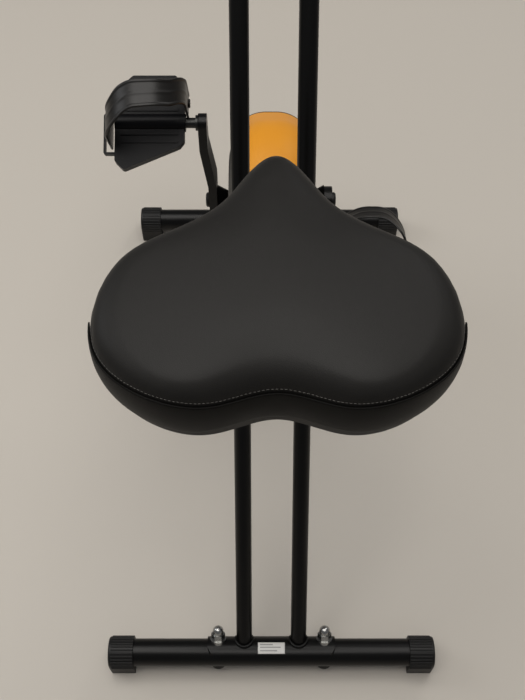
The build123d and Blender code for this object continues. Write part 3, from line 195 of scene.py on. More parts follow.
def add_node(tree, kind, **settings):
    """A node with its properties and its input values set by name."""
    node = tree.nodes.new(kind)
    for key, value in settings.items():
        if hasattr(node, key):
            setattr(node, key, value)
        else:
            node.inputs[key.replace("_", " ")].default_value = value
    return node


def make_fine_grain():
    """Moulded or sprayed grain: two noises of different scale, mixed into one height."""
    inputs = [
        ("Scale", "NodeSocketFloat", 900.0),
        ("Coarse Share", "NodeSocketFloat", 0.3),
    ]
    group, given, result = start_group("fine_grain", inputs, [("Height", "NodeSocketFloat")])
    place = add_node(group, "ShaderNodeTexCoord")
    fine = add_node(group, "ShaderNodeTexNoise", Detail=3.0, Roughness=0.6)
    coarse = add_node(group, "ShaderNodeTexNoise", Detail=2.0)
    slower = add_node(group, "ShaderNodeMath", operation="MULTIPLY")
    slower.inputs[1].default_value = coarse_scale
    mix = add_node(group, "ShaderNodeMix", data_type="FLOAT")
    link = group.links.new
    link(place.outputs["Object"], fine.inputs["Vector"])
    link(place.outputs["Object"], coarse.inputs["Vector"])
    link(given.outputs["Scale"], fine.inputs["Scale"])
    link(given.outputs["Scale"], slower.inputs[0])
    link(slower.outputs[0], coarse.inputs["Scale"])
    link(given.outputs["Coarse Share"], mix.inputs[0])
    link(fine.outputs[0], mix.inputs[2])
    link(coarse.outputs[0], mix.inputs[3])
    link(mix.outputs[0], result.inputs["Height"])
    return group


def make_mottle():
    """Uneven finish: slow noise that tints a colour and moves a roughness, with light dust."""
    inputs = [
        ("Colour", "NodeSocketColor", (0.02, 0.02, 0.02, 1)),
        ("Worn Colour", "NodeSocketColor", (0.04, 0.04, 0.04, 1)),
        ("Scale", "NodeSocketFloat", 14.0),
        ("Roughness", "NodeSocketFloat", 0.4),
        ("Spread", "NodeSocketFloat", 0.08),
        ("Dust", "NodeSocketFloat", 0.1),
    ]
    outputs = [("Colour", "NodeSocketColor"), ("Roughness", "NodeSocketFloat")]
    group, given, result = start_group("mottle", inputs, outputs)
    place = add_node(group, "ShaderNodeTexCoord")
    slow = add_node(group, "ShaderNodeTexNoise", Detail=4.0, Roughness=0.55)
    speck = add_node(group, "ShaderNodeTexNoise", Scale=420.0, Detail=2.0)
    speck_mask = add_node(group, "ShaderNodeMapRange")
    speck_mask.inputs["From Min"].default_value = 0.66
    speck_mask.inputs["From Max"].default_value = 0.8
    dusty = add_node(group, "ShaderNodeMath", operation="MULTIPLY")
    tint = add_node(group, "ShaderNodeMix", data_type="RGBA")
    dusted = add_node(group, "ShaderNodeMix", data_type="RGBA")
    dusted.inputs[7].default_value = dust_colour
    centred = add_node(group, "ShaderNodeMath", operation="SUBTRACT")
    centred.inputs[1].default_value = middle_grey
    moved = add_node(group, "ShaderNodeMath", operation="MULTIPLY_ADD")
    link = group.links.new
    link(place.outputs["Object"], slow.inputs["Vector"])
    link(place.outputs["Object"], speck.inputs["Vector"])
    link(given.outputs["Scale"], slow.inputs["Scale"])
    link(speck.outputs[0], speck_mask.inputs["Value"])
    link(speck_mask.outputs[0], dusty.inputs[0])
    link(given.outputs["Dust"], dusty.inputs[1])
    link(slow.outputs[0], tint.inputs[0])
    link(given.outputs["Colour"], tint.inputs[6])
    link(given.outputs["Worn Colour"], tint.inputs[7])
    link(dusty.outputs[0], dusted.inputs[0])
    link(tint.outputs[2], dusted.inputs[6])
    link(slow.outputs[0], centred.inputs[0])
    link(centred.outputs[0], moved.inputs[0])
    link(given.outputs["Spread"], moved.inputs[1])
    link(given.outputs["Roughness"], moved.inputs[2])
    link(dusted.outputs[2], result.inputs["Colour"])
    link(moved.outputs[0], result.inputs["Roughness"])
    return group


fine_grain = make_fine_grain()
mottle = make_mottle()


def finish_material(name, colour, worn, roughness, spread=0.08, dust=0.08, mottle_scale=14.0,
                    grain_scale=900.0, coarse_share=0.3, bump=0.15, depth=0.0002, **surface):
    """A material whose colour and roughness come from the mottle group and bump from the grain."""
    material = bpy.data.materials.new(name)
    material.use_nodes = True
    tree = material.node_tree
    shader = tree.nodes["Principled BSDF"]
    for socket, value in surface.items():
        shader.inputs[socket.replace("_", " ")].default_value = value
    uneven = add_node(tree, "ShaderNodeGroup", node_tree=mottle)
    uneven.inputs["Colour"].default_value = (*colour, 1)
    uneven.inputs["Worn Colour"].default_value = (*worn, 1)
    uneven.inputs["Scale"].default_value = mottle_scale
    uneven.inputs["Roughness"].default_value = roughness
    uneven.inputs["Spread"].default_value = spread
    uneven.inputs["Dust"].default_value = dust
    grain = add_node(tree, "ShaderNodeGroup", node_tree=fine_grain)
    grain.inputs["Scale"].default_value = grain_scale
    grain.inputs["Coarse Share"].default_value = coarse_share
    raised = add_node(tree, "ShaderNodeBump")
    raised.inputs["Strength"].default_value = bump
    raised.inputs["Distance"].default_value = depth
    tree.links.new(uneven.outputs["Colour"], shader.inputs["Base Color"])
    tree.links.new(uneven.outputs["Roughness"], shader.inputs["Roughness"])
    tree.links.new(grain.outputs["Height"], raised.inputs["Height"])
    tree.links.new(raised.outputs["Normal"], shader.inputs["Normal"])
    return material


def make_vinyl(name, colour, worn, gloss):
    """Grained black vinyl: small pebbles with fine creases between them, over a slow mottle."""
    material = finish_material(
        name, colour, worn, 0.46, spread=0.07, dust=0.02,
        mottle_scale=22.0, Specular_IOR_Level=gloss,
    )
    tree = material.node_tree
    raised = next(node for node in tree.nodes if node.type == "BUMP")
    place = add_node(tree, "ShaderNodeTexCoord")
    pebbles = add_node(tree, "ShaderNodeTexVoronoi", feature="DISTANCE_TO_EDGE", Scale=900.0)
    creases = add_node(tree, "ShaderNodeMapRange")
    creases.inputs["From Max"].default_value = 0.22
    folds = add_node(tree, "ShaderNodeTexNoise", Scale=160.0, Detail=3.0)
    sum_height = add_node(tree, "ShaderNodeMath", operation="MULTIPLY_ADD")
    sum_height.inputs[1].default_value = fold_height
    tree.links.new(place.outputs["Object"], pebbles.inputs["Vector"])
    tree.links.new(place.outputs["Object"], folds.inputs["Vector"])
    tree.links.new(pebbles.outputs["Distance"], creases.inputs["Value"])
    tree.links.new(folds.outputs[0], sum_height.inputs[0])
    tree.links.new(creases.outputs[0], sum_height.inputs[2])
    tree.links.new(sum_height.outputs[0], raised.inputs["Height"])
    raised.inputs["Strength"].default_value = 0.3
    raised.inputs["Distance"].default_value = 0.00012
    return material


powder_black = finish_material(
    "powder_black", (0.0016, 0.0015, 0.0014), (0.003, 0.0029, 0.0027), 0.32,
    spread=0.06, dust=0.03, grain_scale=1400.0, coarse_share=0.5, bump=0.12, depth=0.00015,
    Specular_IOR_Level=0.22,
)
moulded_black = finish_material(
    "moulded_black", (0.0045, 0.0044, 0.0042), (0.0075, 0.0073, 0.007), 0.46,
    spread=0.1, dust=0.05, grain_scale=1900.0, coarse_share=0.25, bump=0.25, depth=0.00018,
    Specular_IOR_Level=0.3,
)
# The pedals' black plastic, darker than the other moulded black. Part of that darkness is painted shade under the
# straps, and the blue tint is a painted reflection.
pedal_black_and_painted_shade = finish_material(
    "pedal_black_and_painted_shade", (0.0014, 0.0014, 0.002), (0.0026, 0.0025, 0.0032), 0.42,
    spread=0.12, dust=0.05, grain_scale=1500.0, coarse_share=0.3, bump=0.22, depth=0.0002,
    Specular_IOR_Level=0.14,
)
moulded_orange = finish_material(
    "moulded_orange", (0.84, 0.34, 0.018), (0.78, 0.31, 0.016), 0.5,
    spread=0.06, dust=0.03, grain_scale=2200.0, coarse_share=0.2, bump=0.15, depth=0.00012,
    Specular_IOR_Level=0.35,
)
zinc = finish_material(
    "zinc", (0.46, 0.46, 0.445), (0.34, 0.34, 0.33), 0.26,
    spread=0.14, dust=0.05, mottle_scale=120.0, grain_scale=1600.0, coarse_share=0.6,
    bump=0.08, depth=0.0001, Metallic=1.0,
)
dark_steel = finish_material(
    "dark_steel", (0.06, 0.06, 0.058), (0.035, 0.035, 0.034), 0.36,
    spread=0.14, dust=0.1, mottle_scale=90.0, grain_scale=1200.0, coarse_share=0.5,
    bump=0.1, depth=0.0001, Metallic=1.0,
)
turned_iron = finish_material(
    "turned_iron", (0.2, 0.195, 0.19), (0.13, 0.125, 0.12), 0.4,
    spread=0.2, dust=0.1, mottle_scale=60.0, grain_scale=700.0, coarse_share=0.5,
    bump=0.2, depth=0.0002, Metallic=1.0,
)
strap_rubber = finish_material(
    "strap_rubber", (0.0045, 0.004, 0.0034), (0.009, 0.008, 0.0068), 0.38,
    spread=0.12, dust=0.05, mottle_scale=30.0, grain_scale=1100.0, coarse_share=0.35,
    bump=0.25, depth=0.0002, Specular_IOR_Level=0.35,
)
grip_foam = finish_material(
    "grip_foam", (0.013, 0.013, 0.013), (0.022, 0.022, 0.021), 0.86,
    spread=0.1, dust=0.2, mottle_scale=40.0, grain_scale=1300.0, coarse_share=0.2,
    bump=0.7, depth=0.0006, Specular_IOR_Level=0.2,
)
button_rubber = finish_material(
    "button_rubber", (0.2, 0.2, 0.2), (0.24, 0.24, 0.23), 0.6,
    spread=0.08, dust=0.1, grain_scale=1500.0, bump=0.2,
)
display_window = finish_material(
    "display_window", (0.2, 0.23, 0.19), (0.22, 0.25, 0.2), 0.18,
    spread=0.05, dust=0.04, grain_scale=300.0, bump=0.02, Coat_Weight=0.6, Coat_Roughness=0.05,
)
label_paper = finish_material(
    "label_paper", (0.72, 0.71, 0.68), (0.62, 0.6, 0.57), 0.5,
    spread=0.1, dust=0.2, grain_scale=500.0, bump=0.08,
)
label_ink = finish_material(
    "label_ink", (0.3, 0.3, 0.29), (0.36, 0.35, 0.34), 0.55,
    spread=0.1, dust=0.1, grain_scale=500.0, bump=0.05,
)
stitch_thread = finish_material(
    "stitch_thread", (0.075, 0.071, 0.065), (0.11, 0.104, 0.095), 0.6,
    spread=0.1, dust=0.2, grain_scale=2600.0, coarse_share=0.4, bump=0.5, depth=0.0001,
)
saddle_vinyl = make_vinyl("saddle_vinyl", (0.0118, 0.0112, 0.0103), (0.0145, 0.0138, 0.0127), 0.15)
# The rear panel's vinyl is the saddle's vinyl made darker. That darkness is painted shade for the band round the
# back, which faces away from the light.
shaded_panel_vinyl = make_vinyl("shaded_panel_vinyl", (0.0042, 0.004, 0.0036), (0.0062, 0.0058, 0.0053), 0.06)

finish_of_slot = {
    "black_steel": powder_black,
    "bright_steel": zinc,
    "cast_iron": turned_iron,
    "black_plastic": moulded_black,
    "orange_plastic": moulded_orange,
    "strap_rubber": strap_rubber,
    "grip_foam": grip_foam,
    "saddle_vinyl": saddle_vinyl,
    "display": display_window,
    "button_grey": button_rubber,
}
slot_of_node = {row["node"]: row["material_slot"] for row in frame["record"]["subparts"]}
for node_name, node in frame["nodes"].items():
    for place in node.material_slots:
        place.material = finish_of_slot[slot_of_node[node_name]]
own_finish = {
    "pedal_left": pedal_black_and_painted_shade,
    "pedal_right": pedal_black_and_painted_shade,
    "pedal_spindles": dark_steel,
    "rear_bolts": dark_steel,
}
for node_name, finish in own_finish.items():
    for place in frame["nodes"][node_name].material_slots:
        place.material = finish

# ---- Saddle

saddle_nose = -0.108
saddle_length = 0.262
saddle_half_width = 0.157
saddle_notch = 0.943  # how far back the notch reaches, as a share of the length
saddle_middle = -0.262
# Knots down one side: a share of the half width, and a share of the length behind the nose.
saddle_plan = (
    (0.19, 0.095),
    (0.32, 0.214),
    (0.58, 0.34),
    (0.83, 0.43),
    (0.98, 0.59),
    (0.96, 0.81),
    (0.77, 0.935),
    (0.38, 1.0),
)
saddle_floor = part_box("saddle_cushion")[0].z
seam_height = saddle_floor + 0.049
corner_rise = 0.006  # the seam stands this much higher at the two rear corners
corner_x = 0.095
corner_spread = 0.045
crown_height = 0.009
edge_round = 0.026
edge_drop = 0.019
side_bulge = 0.0016
side_tuck = 0.004
nose_drop = 0.002
nose_end = -0.235
nose_fade = 0.12
top_rings = 34
side_rings = 14
outline_count = 320
saddle_shrink = 0.0016  # the cushion starts this much smaller, because it swells
swell_frames = 20
pinned_height = 0.004  # the cushion's base is held up to here


def saddle_outline(count):
    """The saddle's plan: the nose, eight knots down the right side, the notch, and back up."""
    right = [(x * saddle_half_width, saddle_nose - y * saddle_length) for x, y in saddle_plan]
    left = [(-x, y) for x, y in reversed(right)]
    notch = (0, saddle_nose - saddle_notch * saddle_length)
    return closed_curve([(0, saddle_nose), *right, notch, *left], count)


def outward_normals(curve):
    """Unit normals of a clockwise plan curve: its tangent turned a quarter to the outside."""
    tangent = np.roll(curve, -1, axis=0) - np.roll(curve, 1, axis=0)
    tangent /= np.linalg.norm(tangent, axis=1)[:, None]
    return np.stack([-tangent[:, 1], tangent[:, 0]], axis=-1)


plan_curve = saddle_outline(outline_count)
plan_normal = outward_normals(plan_curve)
plan_centre = np.array([0.0, saddle_middle])
# 1 at the nose, fading to 0 at nose_end
nose_share = smooth_step((plan_curve[:, 1] - nose_end) / nose_fade)
from_corner = (np.abs(plan_curve[:, 0]) - corner_x) / corner_spread
seam_line = seam_height + corner_rise * np.exp(-(from_corner**2))


def saddle_rings():
    """Rings from the middle of the top, over the rounded edge and down the side, to the base.

    A top ring is the outline drawn in towards the centre to a share k. With d the distance that
    leaves to the edge, its height is seam + drop sqrt(1 - (1 - d / round)^2) + crown (1 - k^2).
    The side bulges as a half sine between the seam and the base, and tucks in at the bottom.
    """
    start = plan_curve - plan_normal * saddle_shrink
    reach = np.maximum(((start - plan_centre) * plan_normal).sum(axis=1), 0.02)
    rings = []
    for t in np.linspace(0.03, 1, top_rings):
        k = 1 - (1 - t) ** 1.5
        flat = plan_centre + (start - plan_centre) * k
        left = np.clip(1 - (1 - k) * reach / edge_round, 0, 1)
        level = seam_height + (seam_line - seam_height) * k**4
        height = level + edge_drop * np.sqrt(1 - left**2) + crown_height * (1 - k**2)
        rings.append(np.column_stack([flat, height - nose_drop * nose_share * k**3]))
    for share in np.linspace(0, 1, side_rings)[1:]:
        bulge = side_bulge * sin(pi * share) - side_tuck * share**2
        height = (seam_line - nose_drop * nose_share) * (1 - share) + saddle_floor * share
        rings.append(np.column_stack([start + plan_normal * bulge, height]))
    return np.array(rings)


def make_cushion():
    """The closed cushion: its rings, a middle point on top and one under the base."""
    rings = saddle_rings()
    top = rings[0].mean(axis=0)
    base = np.array([plan_centre[0], plan_centre[1], saddle_floor])
    points = np.vstack([rings.reshape(-1, 3), top, base])
    faces = grid_faces(len(rings), outline_count, False, True)[:, ::-1].tolist()
    ring = np.arange(outline_count)
    last = (len(rings) - 1) * outline_count
    following = (ring + 1) % outline_count
    top_index = np.full(outline_count, len(points) - 2)
    base_index = np.full(outline_count, len(points) - 1)
    top_fan = np.stack([top_index, following, ring], axis=-1)
    base_fan = np.stack([base_index, last + ring, last + following], axis=-1)
    mesh = bpy.data.meshes.new("saddle_pad")
    mesh.from_pydata(points.tolist(), [], faces + top_fan.tolist() + base_fan.tolist())
    mesh.materials.append(saddle_vinyl)
    piece = bpy.data.objects.new("saddle_pad", mesh)
    scene.collection.objects.link(piece)
    return piece


def bake_modifiers(piece):
    """Replaces the piece's mesh with what its modifiers make of it."""
    graph = bpy.context.evaluated_depsgraph_get()
    made = bpy.data.meshes.new_from_object(piece.evaluated_get(graph), depsgraph=graph)
    made.name = piece.name
    piece.modifiers.clear()
    piece.data = made


def swell(piece, voxel, pressure, most):
    """Fills the cushion: an even remesh, then cloth under pressure, with each move capped."""
    remesh = piece.modifiers.new("remesh", "REMESH")
    remesh.mode = "VOXEL"
    remesh.voxel_size = voxel
    bake_modifiers(piece)
    count = len(piece.data.vertices)
    before = np.empty(count * 3)
    piece.data.vertices.foreach_get("co", before)
    before = before.reshape(-1, 3)
    cloth = piece.modifiers.new("cloth", "CLOTH")
    cloth.settings.quality = 6
    cloth.settings.mass = 0.3
    cloth.settings.tension_stiffness = 40
    cloth.settings.compression_stiffness = 30
    cloth.settings.bending_stiffness = 20
    cloth.settings.use_pressure = True
    cloth.settings.uniform_pressure_force = pressure
    cloth.settings.effector_weights.gravity = 0
    pinned = piece.vertex_groups.new(name="base")
    low = np.nonzero(before[:, 2] < saddle_floor + pinned_height)[0]
    pinned.add(low.tolist(), 1.0, "REPLACE")
    cloth.settings.vertex_group_mass = "base"
    for step in range(1, swell_frames + 1):
        scene.frame_set(step)
    graph = bpy.context.evaluated_depsgraph_get()
    made = piece.evaluated_get(graph).to_mesh()
    after = np.empty(count * 3)
    made.vertices.foreach_get("co", after)
    move = after.reshape(-1, 3) - before
    length = np.linalg.norm(move, axis=1)[:, None]
    move *= np.minimum(1, most / np.maximum(length, 1e-9))
    piece.modifiers.clear()
    piece.vertex_groups.clear()
    piece.data.vertices.foreach_set("co", (before + move).ravel())
    scene.frame_set(1)


def smooth_piece(piece, turns):
    """Evens the surface out with a few passes of smoothing."""
    ease = piece.modifiers.new("ease", "SMOOTH")
    ease.factor = 0.5
    ease.iterations = turns
    bake_modifiers(piece)


saddle_pad = make_cushion()
recalculate_normals(saddle_pad)
swell(saddle_pad, voxel=0.005, pressure=4.0, most=0.0025)
smooth_piece(saddle_pad, turns=7)
finer = saddle_pad.modifiers.new("finer", "SUBSURF")
finer.levels = finer.render_levels = 1
bake_modifiers(saddle_pad)
shade_smooth(saddle_pad.data)
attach(saddle_pad, "seat_post")
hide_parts("saddle_cushion")


def wrap_to_pad(piece, gap):
    """Lays the piece's points on the cushion's surface, a gap above it."""
    wrap = piece.modifiers.new("wrap", "SHRINKWRAP")
    wrap.target = saddle_pad
    wrap.wrap_method = "NEAREST_SURFACEPOINT"
    wrap.wrap_mode = "OUTSIDE_SURFACE"
    wrap.offset = gap
    bake_modifiers(piece)


def rear_stretch():
    """Indices of the outline from one widest place round the back to the other."""
    widest = int(np.argmax(plan_curve[:, 0]))
    other = int(np.argmin(plan_curve[:, 0]))
    return np.arange(widest, other + 1)


rear = rear_stretch()
panel_thickness = 0.0016
panel_rows = 26
panel_inset = 0.002  # it starts this far inside the cushion and is then wrapped out onto it
panel_hem = 0.001


def make_rear_panel():
    """The sewn panel round the back: each column runs from the seam down to the base."""
    share = np.linspace(0, 1, panel_rows)
    bulge = side_bulge * np.sin(pi * share) - side_tuck * share**2 - panel_inset
    height = np.outer(1 - share, seam_line[rear]) + (saddle_floor - panel_hem) * share[:, None]
    flat = plan_curve[rear][None] + plan_normal[rear][None] * bulge[:, None, None]
    points = np.concatenate([flat, height[:, :, None]], axis=2)
    faces = grid_faces(panel_rows, len(rear))
    # the panel's darker vinyl is painted shade
    piece = new_piece("saddle_rear_panel", points, faces, "seat_post", shaded_panel_vinyl)
    wrap_to_pad(piece, gap=0.0006)
    wall = piece.modifiers.new("wall", "SOLIDIFY")
    wall.thickness = panel_thickness
    wall.offset = 1
    soft_edge = piece.modifiers.new("edge", "BEVEL")
    soft_edge.width = 0.0005
    soft_edge.segments = 2
    bake_modifiers(piece)
    recalculate_normals(piece)


make_rear_panel()

stitch_length = 0.0026
stitch_pitch = 0.0035
stitch_radius = 0.00028
stitch_rise = 0.0042  # above the seam
seam_margin = 0.006


def along_rear(rise, pitch):
    """Even places along the rear seam, laid on the cushion, with the ways along and out of it."""
    line = plan_curve[rear]
    step = np.linalg.norm(np.diff(line, axis=0), axis=1)
    length = np.concatenate([[0], np.cumsum(step)])
    place = np.arange(seam_margin, length[-1] - seam_margin, pitch)
    flat = np.column_stack([np.interp(place, length, line[:, axis]) for axis in (0, 1)])
    level = np.interp(place, length, seam_line[rear]) + rise
    mesh = bpy.data.meshes.new("seam_line")
    mesh.from_pydata(np.column_stack([flat, level]).tolist(), [], [])
    thread = bpy.data.objects.new("seam_line", mesh)
    scene.collection.objects.link(thread)
    wrap_to_pad(thread, gap=0.0001)
    points = np.empty(len(flat) * 3)
    thread.data.vertices.foreach_get("co", points)
    bpy.data.objects.remove(thread)
    points = points.reshape(-1, 3)
    along = np.gradient(points, axis=0)
    along /= np.linalg.norm(along, axis=1)[:, None]
    outward = np.column_stack([along[:, 1], -along[:, 0], np.zeros(len(along))])
    outward /= np.linalg.norm(outward, axis=1)[:, None]
    return points, along, outward


def make_stitches():
    """A row of stitches: each is a thin spindle, radius sin(pi s)^0.4 thick along its length."""
    centre, along, outward = along_rear(stitch_rise, stitch_pitch)
    rows, sides = 6, 6
    s = np.linspace(0.02, 0.98, rows)
    thick = stitch_radius * np.sin(pi * s) ** 0.4
    angle = np.linspace(0, full_turn, sides, endpoint=False)
    up = np.array([0, 0, 1.0])
    ring = (
        centre[:, None, None]
        + along[:, None, None] * ((s - 0.5) * stitch_length)[None, :, None, None]
        + outward[:, None, None] * (thick[:, None] * np.cos(angle))[None, :, :, None]
        + up * (thick[:, None] * np.sin(angle))[None, :, :, None]
    )
    one = grid_faces(rows, sides, False, True)
    caps = [range(sides), range((rows - 1) * sides, rows * sides)[::-1]]
    offsets = np.arange(len(centre)) * rows * sides
    faces = (one[None] + offsets[:, None, None]).reshape(-1, 4).tolist()
    faces += [[corner + int(offset) for corner in cap] for offset in offsets for cap in caps]
    piece = new_piece("saddle_stitches", ring, faces, "seat_post", stitch_thread)
    recalculate_normals(piece)


make_stitches()

# ---- Foot straps

strap_inner = 0.113
strap_outer = 0.219
strap_crest = 0.088
strap_tail = 0.014  # below the pedal's middle, on the outside
strap_inner_tail = 0.009
strap_corner = 0.046
strap_thickness = 0.003
strap_skin = 0.0012
hem_rise = 0.0008
rib_rise = 0.0005
# Across, where the middle line stands along the toe, and half the width there.
strap_stations = np.array([
    (0.112, 0.027, 0.018),
    (0.117, 0.027, 0.018),
    (0.128, 0.015, 0.018),
    (0.150, 0.0125, 0.018),
    (0.185, 0.0105, 0.019),
    (0.203, -0.001, 0.023),
    (0.214, -0.014, 0.020),
    (0.220, -0.014, 0.020),
])
pedal_pitch = {-1: radians(25), 1: radians(-25)}


def arch_line(count):
    """The strap's middle line in (across, up): up one flank, over with round corners, down."""
    half = strap_thickness / 2
    left, right, crest = strap_inner + half, strap_outer - half, strap_crest - half
    corner = strap_corner
    arc = np.linspace(0, pi / 2, 24)
    run, fall = corner * (1 - np.cos(arc)), corner * (1 - np.sin(arc))
    pieces = [
        np.column_stack([np.full(16, left), np.linspace(-strap_inner_tail, crest - corner, 16)]),
        np.column_stack([left + run, crest - fall])[1:],
        np.column_stack([np.linspace(left + corner, right - corner, 16), np.full(16, crest)])[1:],
        np.column_stack([right - fall, crest - run])[1:],
        np.column_stack([np.full(20, right), np.linspace(crest - corner, -strap_tail, 20)])[1:],
    ]
    line = np.vstack(pieces)
    step = np.concatenate([[0], np.cumsum(np.linalg.norm(np.diff(line, axis=0), axis=1))])
    place = np.linspace(0, step[-1], count)
    return np.column_stack([np.interp(place, step, line[:, axis]) for axis in (0, 1)])


def eased_stations(across, column):
    """A station column along the strap, averaged over 16 mm so that its corners are rounded."""
    spread = np.linspace(-0.008, 0.008, 9)
    inside = np.clip(across[:, None] + spread, strap_stations[0, 0], strap_stations[-1, 0])
    return np.interp(inside, strap_stations[:, 0], strap_stations[:, column]).mean(axis=1)


def make_strap(side, body, name):
    """A moulded strap: its arch line carried across a band with raised hems and a thicker middle.

    w runs from -1/2 to 1/2 across the band. The outer face stands off the line by the skin plus
    a step up in each hem and a low rib in the middle, and both faces close in at the edges. The
    band's middle and its width along the toe follow the stations.
    """
    across_count, along_count = 41, 150
    line = arch_line(along_count)
    tangent = np.gradient(line, axis=0)
    tangent /= np.linalg.norm(tangent, axis=1)[:, None]
    normal = np.column_stack([-tangent[:, 1], tangent[:, 0]])
    w = np.linspace(-0.5, 0.5, across_count)
    hem = smooth_step((np.abs(w) - 0.36) / 0.05)
    rib = np.exp(-((w / 0.06) ** 2))
    edge = 0.2 + 0.8 * np.sqrt(np.clip(1 - ((np.abs(w) - 0.47) / 0.03).clip(0) ** 2, 0, 1))
    outer = (strap_skin + hem_rise * hem + rib_rise * rib) * edge
    inner = -strap_skin * edge
    lean, half_width = (eased_stations(line[:, 0], column) for column in (1, 2))
    layers = []
    for stand in (outer, inner):
        flat = line[:, None] + normal[:, None] * stand[None, :, None]
        toe = lean[:, None] + 2 * w[None] * half_width[:, None]
        layers.append(np.concatenate([flat, toe[:, :, None]], axis=2))
    shell = np.concatenate([layers[0], layers[1][:, ::-1]], axis=1)
    hinge = np.array(joints[f"{body}_spin"]["pos_m"])
    pitch = pedal_pitch[side]
    toe_way = np.array([0, cos(pitch), sin(pitch)])
    up_way = np.array([0, -sin(pitch), cos(pitch)])
    points = (
        shell[:, :, :1] * np.array([side, 0, 0])
        + shell[:, :, 1:2] * up_way
        + shell[:, :, 2:] * toe_way
        + np.array([0, hinge[1], hinge[2]])
    )
    columns = 2 * across_count
    faces = grid_faces(along_count, columns, False, True).tolist()
    last = (along_count - 1) * columns
    faces += [range(columns), range(last, last + columns)[::-1]]
    piece = new_piece(name, points, faces, body, strap_rubber)
    recalculate_normals(piece)
    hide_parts(name.replace("foot_", ""))


make_strap(-1, "pedal_left", "foot_strap_left")
make_strap(1, "pedal_right", "foot_strap_right")

# ---- Weld beads where the tubes meet the foot brackets

leg_angle = radians(52.8)
seat_leg_angle = radians(46.4)
bracket_radius = 0.0221
leg_tube_x = 0.03825
leg_tube_radius = 0.011
main_tube_radius = 0.019
bead_radius = 0.0022
bead_gap = 0.0012  # from the tube's wall to the bead's middle
bead_lift = 0.001  # and from the bracket's


def foot_axis(node):
    """The middle of a foot tube."""
    low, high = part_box(node)
    return np.array((low + high) / 2)


def make_weld(name, foot, direction, x, tube_radius, body):
    """A rippled bead on the curve where a tube stands on a bracket.

    At the angle a round a tube the bead is (R cos a, R sin a) from the tube's middle line, and
    sqrt(bracket^2 - (R sin a)^2) along the tube from the foot tube's middle line.
    """
    angle = np.linspace(0, full_turn, 120, endpoint=False)
    reach = tube_radius + bead_gap
    side_way = np.array([0, -direction[2], direction[1]])
    height = np.sqrt((bracket_radius + bead_lift) ** 2 - (reach * np.sin(angle)) ** 2)
    path = (
        foot
        + np.array([x, 0, 0])
        + np.outer(reach * np.cos(angle), [1, 0, 0])
        + np.outer(reach * np.sin(angle), side_way)
        + np.outer(height, direction)
    )
    swept_tube(name, path, bead_radius, body, powder_black, ripple=0.25)


rear_axis = foot_axis("rear_foot_tube")
front_axis = foot_axis("front_foot_tube")
leg_way = np.array([0, cos(leg_angle), sin(leg_angle)])
seat_leg_way = np.array([0, -cos(seat_leg_angle), sin(seat_leg_angle)])
for label, x in (("left", -leg_tube_x), ("right", leg_tube_x)):
    make_weld(f"rear_weld_{label}", rear_axis, leg_way, x, leg_tube_radius, "handlebar_leg")
make_weld("front_weld", front_axis, seat_leg_way, 0.0, main_tube_radius, "main_frame")

# ---- Lip that covers the upper end of the housing band

drum_centre = np.array([0.222, 0.295])
drum_radius = 0.128
drum_crown = 0.050
drum_half_width = 0.058
lip_angle = radians(55.9)
lip_half_width = 0.0475
lip_radius = 0.0019
lip_lift = 0.0016


def make_band_lip():
    """A thin bead across the housing, on the drum's crowned profile.

    At x the profile's radius is R - c + sqrt(c^2 - (|x| - (w - c))^2) for the crown c and the
    half width w, and it is R itself where |x| is less than w - c.
    """
    x = np.linspace(-lip_half_width, lip_half_width, 90)
    past = np.clip(np.abs(x) - (drum_half_width - drum_crown), 0, None)
    radius = drum_radius - drum_crown + np.sqrt(drum_crown**2 - past**2) + lip_lift
    y = drum_centre[0] + radius * np.cos(lip_angle)
    z = drum_centre[1] + radius * np.sin(lip_angle)
    path = np.column_stack([x, y, z])
    swept_tube(
        "band_lip", path, lip_radius, "main_frame", moulded_black, closed=False
    )


make_band_lip()

# ---- Blank rating label on the rear bracket


def curved_patch(name, foot, middle_angle, half_width, half_height, lift, centre_x, material):
    """A thin patch on the bracket's cylinder: (x, R cos a, R sin a) over x and the angle a."""
    radius = bracket_radius + lift
    columns, rows = 24, 16
    x = np.linspace(-half_width, half_width, columns) + centre_x
    a = middle_angle + np.linspace(-half_height, half_height, rows) / radius
    grid_x, grid_a = np.meshgrid(x, a, indexing="ij")
    points = np.stack(
        [grid_x, foot[1] + radius * np.cos(grid_a), foot[2] + radius * np.sin(grid_a)], axis=-1
    )
    faces = grid_faces(columns, rows)
    piece = new_piece(name, points, faces, "handlebar_leg", material)
    wall = piece.modifiers.new("wall", "SOLIDIFY")
    wall.thickness = label_thickness
    wall.offset = 1
    bake_modifiers(piece)
    recalculate_normals(piece)


label_angle = radians(88)
label_half = (0.019, 0.0082)
label_thickness = 0.00012
label_lift = 0.0002
bar_lift = 0.0004
bar_half_height = 0.0008
bar_left = -0.016
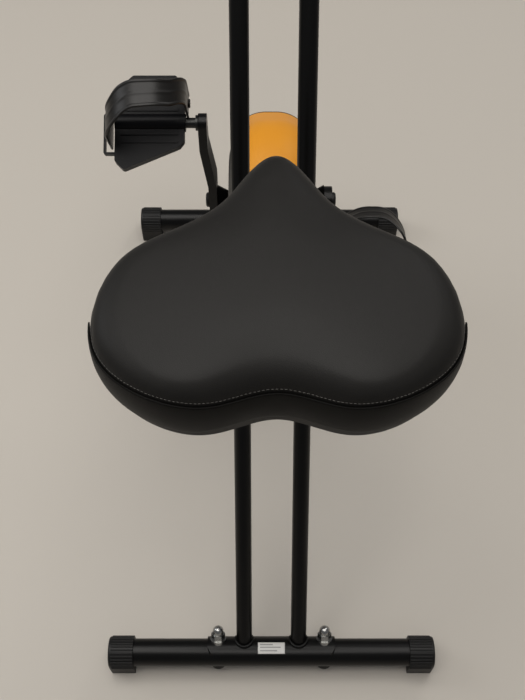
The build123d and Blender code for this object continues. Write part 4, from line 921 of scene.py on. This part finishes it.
# Each bar's distance backwards over the bracket from the label's middle, and half its width.
label_bars = ((0.0038, 0.012), (-0.0008, 0.0145), (-0.0046, 0.009))
curved_patch("rating_label", rear_axis, label_angle, *label_half, label_lift, 0.0, label_paper)
for row, (offset, half) in enumerate(label_bars):
    bar_angle = label_angle + offset / bracket_radius
    curved_patch(
        f"rating_label_bar_{row}", rear_axis, bar_angle, half, bar_half_height, bar_lift,
        half + bar_left, label_ink,
    )

# ---- Floor and light

floor_reach = 6
floor_signs = ((-1, -1), (1, -1), (1, 1), (-1, 1))
floor_corners = [(x * floor_reach, y * floor_reach, 0) for x, y in floor_signs]
floor_mesh = bpy.data.meshes.new("floor")
floor_mesh.from_pydata(floor_corners, [], [(0, 1, 2, 3)])
floor = bpy.data.objects.new("floor", floor_mesh)
scene.collection.objects.link(floor)
floor_material = bpy.data.materials.new("pale_floor")
floor_material.use_nodes = True
floor_shader = floor_material.node_tree.nodes["Principled BSDF"]
floor_shader.inputs["Base Color"].default_value = (0.55, 0.51, 0.45, 1)
floor_shader.inputs["Roughness"].default_value = 0.55
floor_mesh.materials.append(floor_material)


def area_light(name, place, aim, size, power, colour=(1, 1, 1)):
    """A soft rectangular light that looks at a point."""
    data = bpy.data.lights.new(name, "AREA")
    data.size = size
    data.energy = power
    data.color = colour
    lamp = bpy.data.objects.new(name, data)
    lamp.location = place
    lamp.rotation_euler = (Vector(aim) - Vector(place)).to_track_quat("-Z", "Y").to_euler()
    scene.collection.objects.link(lamp)


area_light("ceiling", (-0.3, 0.1, 3.3), (0, 0, 0.3), 2.6, 80, (1, 0.97, 0.93))
area_light("side_window", (-2.6, 0.8, 2.0), (0, 0, 0.6), 1.4, 16, (0.97, 0.98, 1))
area_light("front_lamp", (1.6, 2.2, 2.6), (0, 0.1, 0.5), 1.2, 14, (1, 0.98, 0.95))

world = bpy.data.worlds.new("studio")
world.use_nodes = True
background = world.node_tree.nodes["Background"]
background.inputs["Color"].default_value = (0.96, 0.96, 1, 1)
background.inputs["Strength"].default_value = 0.18
scene.world = world
scene.view_settings.view_transform = "Standard"
